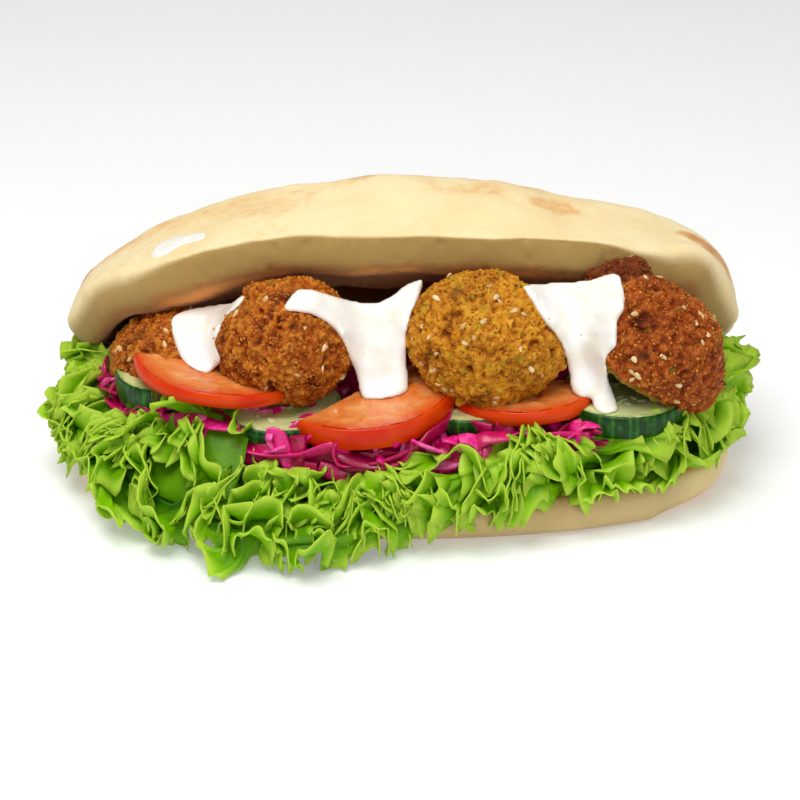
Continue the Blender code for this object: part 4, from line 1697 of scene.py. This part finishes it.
@dataclass
class CurlyLeaf:
    """A leaf of curly lettuce: a blade that lies on the base and rows of tight frills over the bread's rim.

    Each station is (degrees round the base, crest out, crest height, foot out, foot height, puff). A row's
    frilled edge is `gather` times as long as the rim, with a tooth of `tooth` every `tooth_every`.
    """

    node: str
    stations: tuple[tuple[float, ...], ...]
    seed: int
    rows: int = 5
    wave: float = 30.0
    swing: float = 1.95
    step: float = 0.8
    across: int = 13
    gather: float = 2.9
    tooth: float = 2.9
    tooth_every: float = 5.6
    thickness: float = 0.4

    def shape_at(self, degrees: Array) -> Array:
        """The five sizes of the leaf's section at each angle, (n, 5)."""
        table = np.array(self.stations, dtype=float)
        return np.stack([np.interp(degrees, table[:, 0], table[:, k]) for k in range(1, 6)], axis=1)

    def rim(self, degrees: Array) -> tuple[Array, Array]:
        """The base's rim.

        Args:
            degrees: angles round the base.

        Returns:
            The rim's points and its unit vectors pointing out, (n, 3) each.
        """
        half_length, half_depth, shift = BASE_OVAL
        angle = np.radians(degrees)
        x, y = half_length * np.cos(angle), half_depth * np.sin(angle)
        out = np.stack([x / half_length**2, y / half_depth**2, np.zeros_like(x)], axis=1)
        out /= np.linalg.norm(out, axis=1, keepdims=True)
        return np.stack([x, y + shift, np.zeros_like(x)], axis=1), out

    def rim_angles(self) -> tuple[Array, Array]:
        """Angles along the leaf and how far along the rim each lies, in millimetres."""
        degrees = np.linspace(self.stations[0][0] - 3, self.stations[-1][0] + 3, 400)
        points, out = self.rim(degrees)
        steps = np.linalg.norm(np.diff(points + out * 6, axis=0), axis=1)
        return degrees, np.concatenate([[0], np.cumsum(steps)])

    def frill(self, row: int) -> tuple[Array, Array]:
        """One row of frills.

        Args:
            row: 0 at the crest, the last at the foot.

        Returns:
            The grid of points and its edge shade, 0 at the root and 1 at the edge.
        """
        rng = np.random.default_rng(self.seed * 100 + row)
        degrees, travel = self.rim_angles()
        length = travel[-1]
        count = int(length * self.gather / self.step)
        s = np.arange(count) * self.step
        slow = noise_line(s, 26, rng)
        quick = noise_line(s, 11, rng)
        phase = np.cumsum(2 * math.pi / self.wave * (1 + 0.38 * slow) * self.step) + rng.uniform(0, 6)
        theta = self.swing * (1 + 0.34 * quick) * np.sin(phase) + 0.7 * noise_line(s, 6.5, rng)
        x, y = np.cumsum(np.cos(theta)) * self.step, np.cumsum(np.sin(theta)) * self.step
        drift = np.convolve(np.pad(y, 40, mode="edge"), np.ones(81) / 81, mode="valid")
        y = y - drift
        x = (x - x[0]) / (x[-1] - x[0]) * length
        even = np.linspace(0, length, count)
        t = np.linspace(0, 1, self.across)
        grow = t[None, :] ** 2
        along = even[:, None] * (1 - grow) + x[:, None] * grow
        tooth_phase = np.cumsum(self.step / (self.tooth_every * (1 + 0.45 * noise_line(s, 9, rng))))
        tooth = (1 - np.abs(2 * (tooth_phase % 1) - 1)) ** 1.9
        ripple = np.sin(2 * math.pi * tooth_phase + 1.3)
        side = y[:, None] * grow + 0.8 * ripple[:, None] * t[None, :] ** 4
        sway = 0.75 * noise_line(even, 15, rng)
        along = along + 8 * sway[:, None] * t[None, :]
        angles = np.interp(along, travel, degrees)
        flat = angles.ravel()
        shape = self.shape_at(flat)
        base, out = self.rim(flat)
        share = row / (self.rows - 1)
        share = np.clip(share + 0.4 * noise_line(along.ravel() + 500, 13, rng), -0.08, 1.08)
        reach = shape[:, 4] / 2
        tilt = np.radians(88 - 132 * share + 34 * noise_line(along.ravel() + 900, 13, rng))
        root_out = shape[:, 0] * (1 - share) + shape[:, 2] * share
        root_up = shape[:, 1] * (1 - share) + shape[:, 3] * share
        ends = np.minimum(ramp(along.ravel(), -1, 9), ramp(length - along.ravel(), -1, 9))
        lengths = (0.86 + 0.34 * noise_line(along.ravel() + 1300, 11, rng)) * reach * (0.6 + 0.4 * ends)
        far = np.tile(t, count)
        push = -0.42 * reach + far * (lengths + 0.42 * reach)
        push = push + self.tooth * np.repeat(tooth, self.across) * far**4
        curl = side.ravel() * 0.72
        bend = tilt + 0.85 * far**2 * np.tanh(curl / 3.0)
        go_out = root_out + np.cos(bend) * push - np.sin(tilt) * curl
        go_up = root_up + np.sin(bend) * push + np.cos(tilt) * curl
        points = base + out * go_out[:, None]
        points[:, 2] = go_up
        for scale, strength in ((10, 2.4), (4.5, 0.8)):
            shift = [Grain(self.seed + 40 + k + row * 5).layered(points, scale, 1) for k in range(3)]
            points = points + strength * far[:, None] * np.stack(shift, axis=1)
        points[:, 2] = np.maximum(points[:, 2], 0.6 + 0.25 * np.abs(points[:, 2]))
        return points.reshape(count, self.across, 3), np.tile(t, (count, 1))

    def blade(self) -> tuple[Array, Array]:
        """The smooth part: from the base up behind the frills and down to the foot."""
        degrees, travel = self.rim_angles()
        columns = int(travel[-1] / 1.6)
        angles = np.linspace(degrees[0], degrees[-1], columns)
        shape = self.shape_at(angles)
        base, out = self.rim(angles)
        reach = shape[:, 4] / 2
        crest_out, crest_up, foot_out, foot_up = shape[:, :4].T
        stops = (
            (np.full(columns, -21.0), np.full(columns, 17.0)),
            (np.full(columns, -13.0), np.full(columns, 17.2)),
            (crest_out - 0.55 * reach, crest_up + 0.35 * reach),
            (crest_out + 0.1 * reach, crest_up + 0.1 * reach),
            (foot_out - 0.1 * reach, foot_up + 0.2 * reach),
            (foot_out - 0.3 * reach, foot_up - 0.2 * reach),
        )
        route = np.stack([np.stack(stop, 1) for stop in stops], axis=1)
        where = np.linspace(0, route.shape[1] - 1, 26)
        low = np.minimum(where.astype(int), route.shape[1] - 2)
        part = ease(where - low)[None, :, None]
        grid = route[:, low] * (1 - part) + route[:, low + 1] * part
        points = base[:, None, :] + out[:, None, :] * grid[..., :1]
        points[..., 2] = grid[..., 1]
        flat = points.reshape(-1, 3)
        flat = flat + 0.8 * np.stack([Grain(self.seed + k).layered(flat, 8, 2) for k in range(3)], axis=1)
        # The blade's rim value sets it part way to the dark root green: painted shade behind the frills.
        return flat.reshape(points.shape), np.full(points.shape[:2], 0.42)

    def build(self, finish: Material) -> Object:
        """Makes the leaf with a thin wall."""
        points: list[Array] = []
        faces: list[tuple[int, ...]] = []
        rims: list[Array] = []
        count = 0
        for grid, rim in [self.blade(), *(self.frill(row) for row in range(self.rows))]:
            number = count + np.arange(rim.size).reshape(rim.shape)
            points.append(grid.reshape(-1, 3))
            faces += [tuple(quad) for quad in grid_faces(number).tolist()]
            rims.append(rim.ravel())
            count += rim.size
        obj = object_from(self.node.replace("lettuce", "curly_leaf"), np.concatenate(points), faces, finish)
        paint(obj.data, "rim", np.concatenate(rims))
        wall = obj.modifiers.new("wall", "SOLIDIFY")
        wall.thickness = self.thickness * MM
        wall.offset = 0
        settle(obj)
        obj.data.shade_smooth()
        return hand_over(obj, "lettuce", self.node)


LEAVES = {
    "lettuce_left": (6, (
        (150, 1, 26, 2, 21, 17), (170, 2, 28, 2, 23, 18), (190, 3, 19, 4, 17, 17), (205, 2, 17, 6, 14, 16),
        (220, 0, 25, 14, 13, 16), (232, -1, 32, 18, 12, 16), (239, -1, 30, 20, 11, 15),
    )),
    "lettuce_front": (7, (
        (240.5, 1, 20, 20, 10, 13), (252, 2, 15, 27, 9, 13), (262, 2, 14, 21, 9, 13),
        (268, 1, 14, 13, 10, 13),
    )),
    "lettuce_right": (5, (
        (269.5, 0, 20, 7, 13, 14), (280, 0, 25, 6, 15, 15), (295, 0, 28, 5, 17, 15), (305, 0, 24, 3, 17, 13),
        (318, 0, 30, 4, 19, 17), (335, 0, 31, 3, 20, 18), (352, -1, 32, 3, 22, 17), (370, -1, 34, 3, 26, 17),
        (384, -1, 29, 1, 24, 16),
    )),
}


# ---------------------------------------------------------------- scene


# Each lamp: name, place in metres, size in metres, power in watts.
LAMPS = (
    ("key", (-0.15, -0.25, 0.95), 0.7, 7.6),
    ("fill", (0.35, -0.9, 0.45), 0.5, 1.5),
)


def light_and_view() -> None:
    """Sets the pale floor, the soft lights and the camera."""
    scene = bpy.context.scene
    mesh = bpy.data.meshes.new("floor")
    mesh.from_pydata([(-3, -3, 0), (3, -3, 0), (3, 3, 0), (-3, 3, 0)], [], [(0, 1, 2, 3)])
    floor = new_object("floor", mesh)
    floor.location.z = -0.0003
    paper, _, shader, _ = finish_tree("white_card")
    set_shader(shader, Base_Color=linear("ececec"), Roughness=0.9)
    set_shader(shader, Emission_Color=(1, 1, 1, 1), Emission_Strength=0.22)
    mesh.materials.append(paper)
    world = bpy.data.worlds.new("studio")
    scene.world = world
    world.use_nodes = True
    world.node_tree.nodes["Background"].inputs["Color"].default_value = (1, 1, 1, 1)
    world.node_tree.nodes["Background"].inputs["Strength"].default_value = 0.36
    for name, place, size, power in LAMPS:
        lamp = bpy.data.lights.new(name, "AREA")
        lamp.shape, lamp.size, lamp.energy = "DISK", size, power
        obj = new_object(name, lamp)
        obj.location = place
        obj.rotation_euler = (Vector((0, 0, 0.04)) - Vector(place)).to_track_quat("-Z", "Y").to_euler()
    camera = bpy.data.cameras.new("camera")
    camera.lens, camera.sensor_width, camera.clip_start = 92.16, 36, 0.01
    camera.shift_x, camera.shift_y = -0.0025, -0.06875
    view = new_object("camera", camera)
    # The camera looks down by 25 degrees from 640 mm away.
    down = math.radians(25)
    ahead = Vector((0, math.cos(down), -math.sin(down)))
    view.location = Vector((0, -0.010, 0.044)) - ahead * 0.640
    view.rotation_euler = ahead.to_track_quat("-Z", "Y").to_euler()
    scene.camera = view
    scene.view_settings.view_transform = "Standard"


def main() -> None:
    """Builds the pita from the bread up."""
    logging.basicConfig(level=logging.INFO, format="%(message)s")
    bread = Flatbread().build(BakedFlatbread().build())
    hosts = build_falafels() + build_slices()
    white = YogurtSauce().build()
    for pour in POURS:
        pour.build(white, hosts)
    SMEAR.build(white, [bread])
    CabbageHeap().build(PickledCabbage().build())
    green = LettuceLeaf().build()
    for seed, (node, (rows, stations)) in enumerate(LEAVES.items()):
        CurlyLeaf(node, stations, seed + 2, rows).build(green)
    light_and_view()


if __name__ == "__main__":
    main()
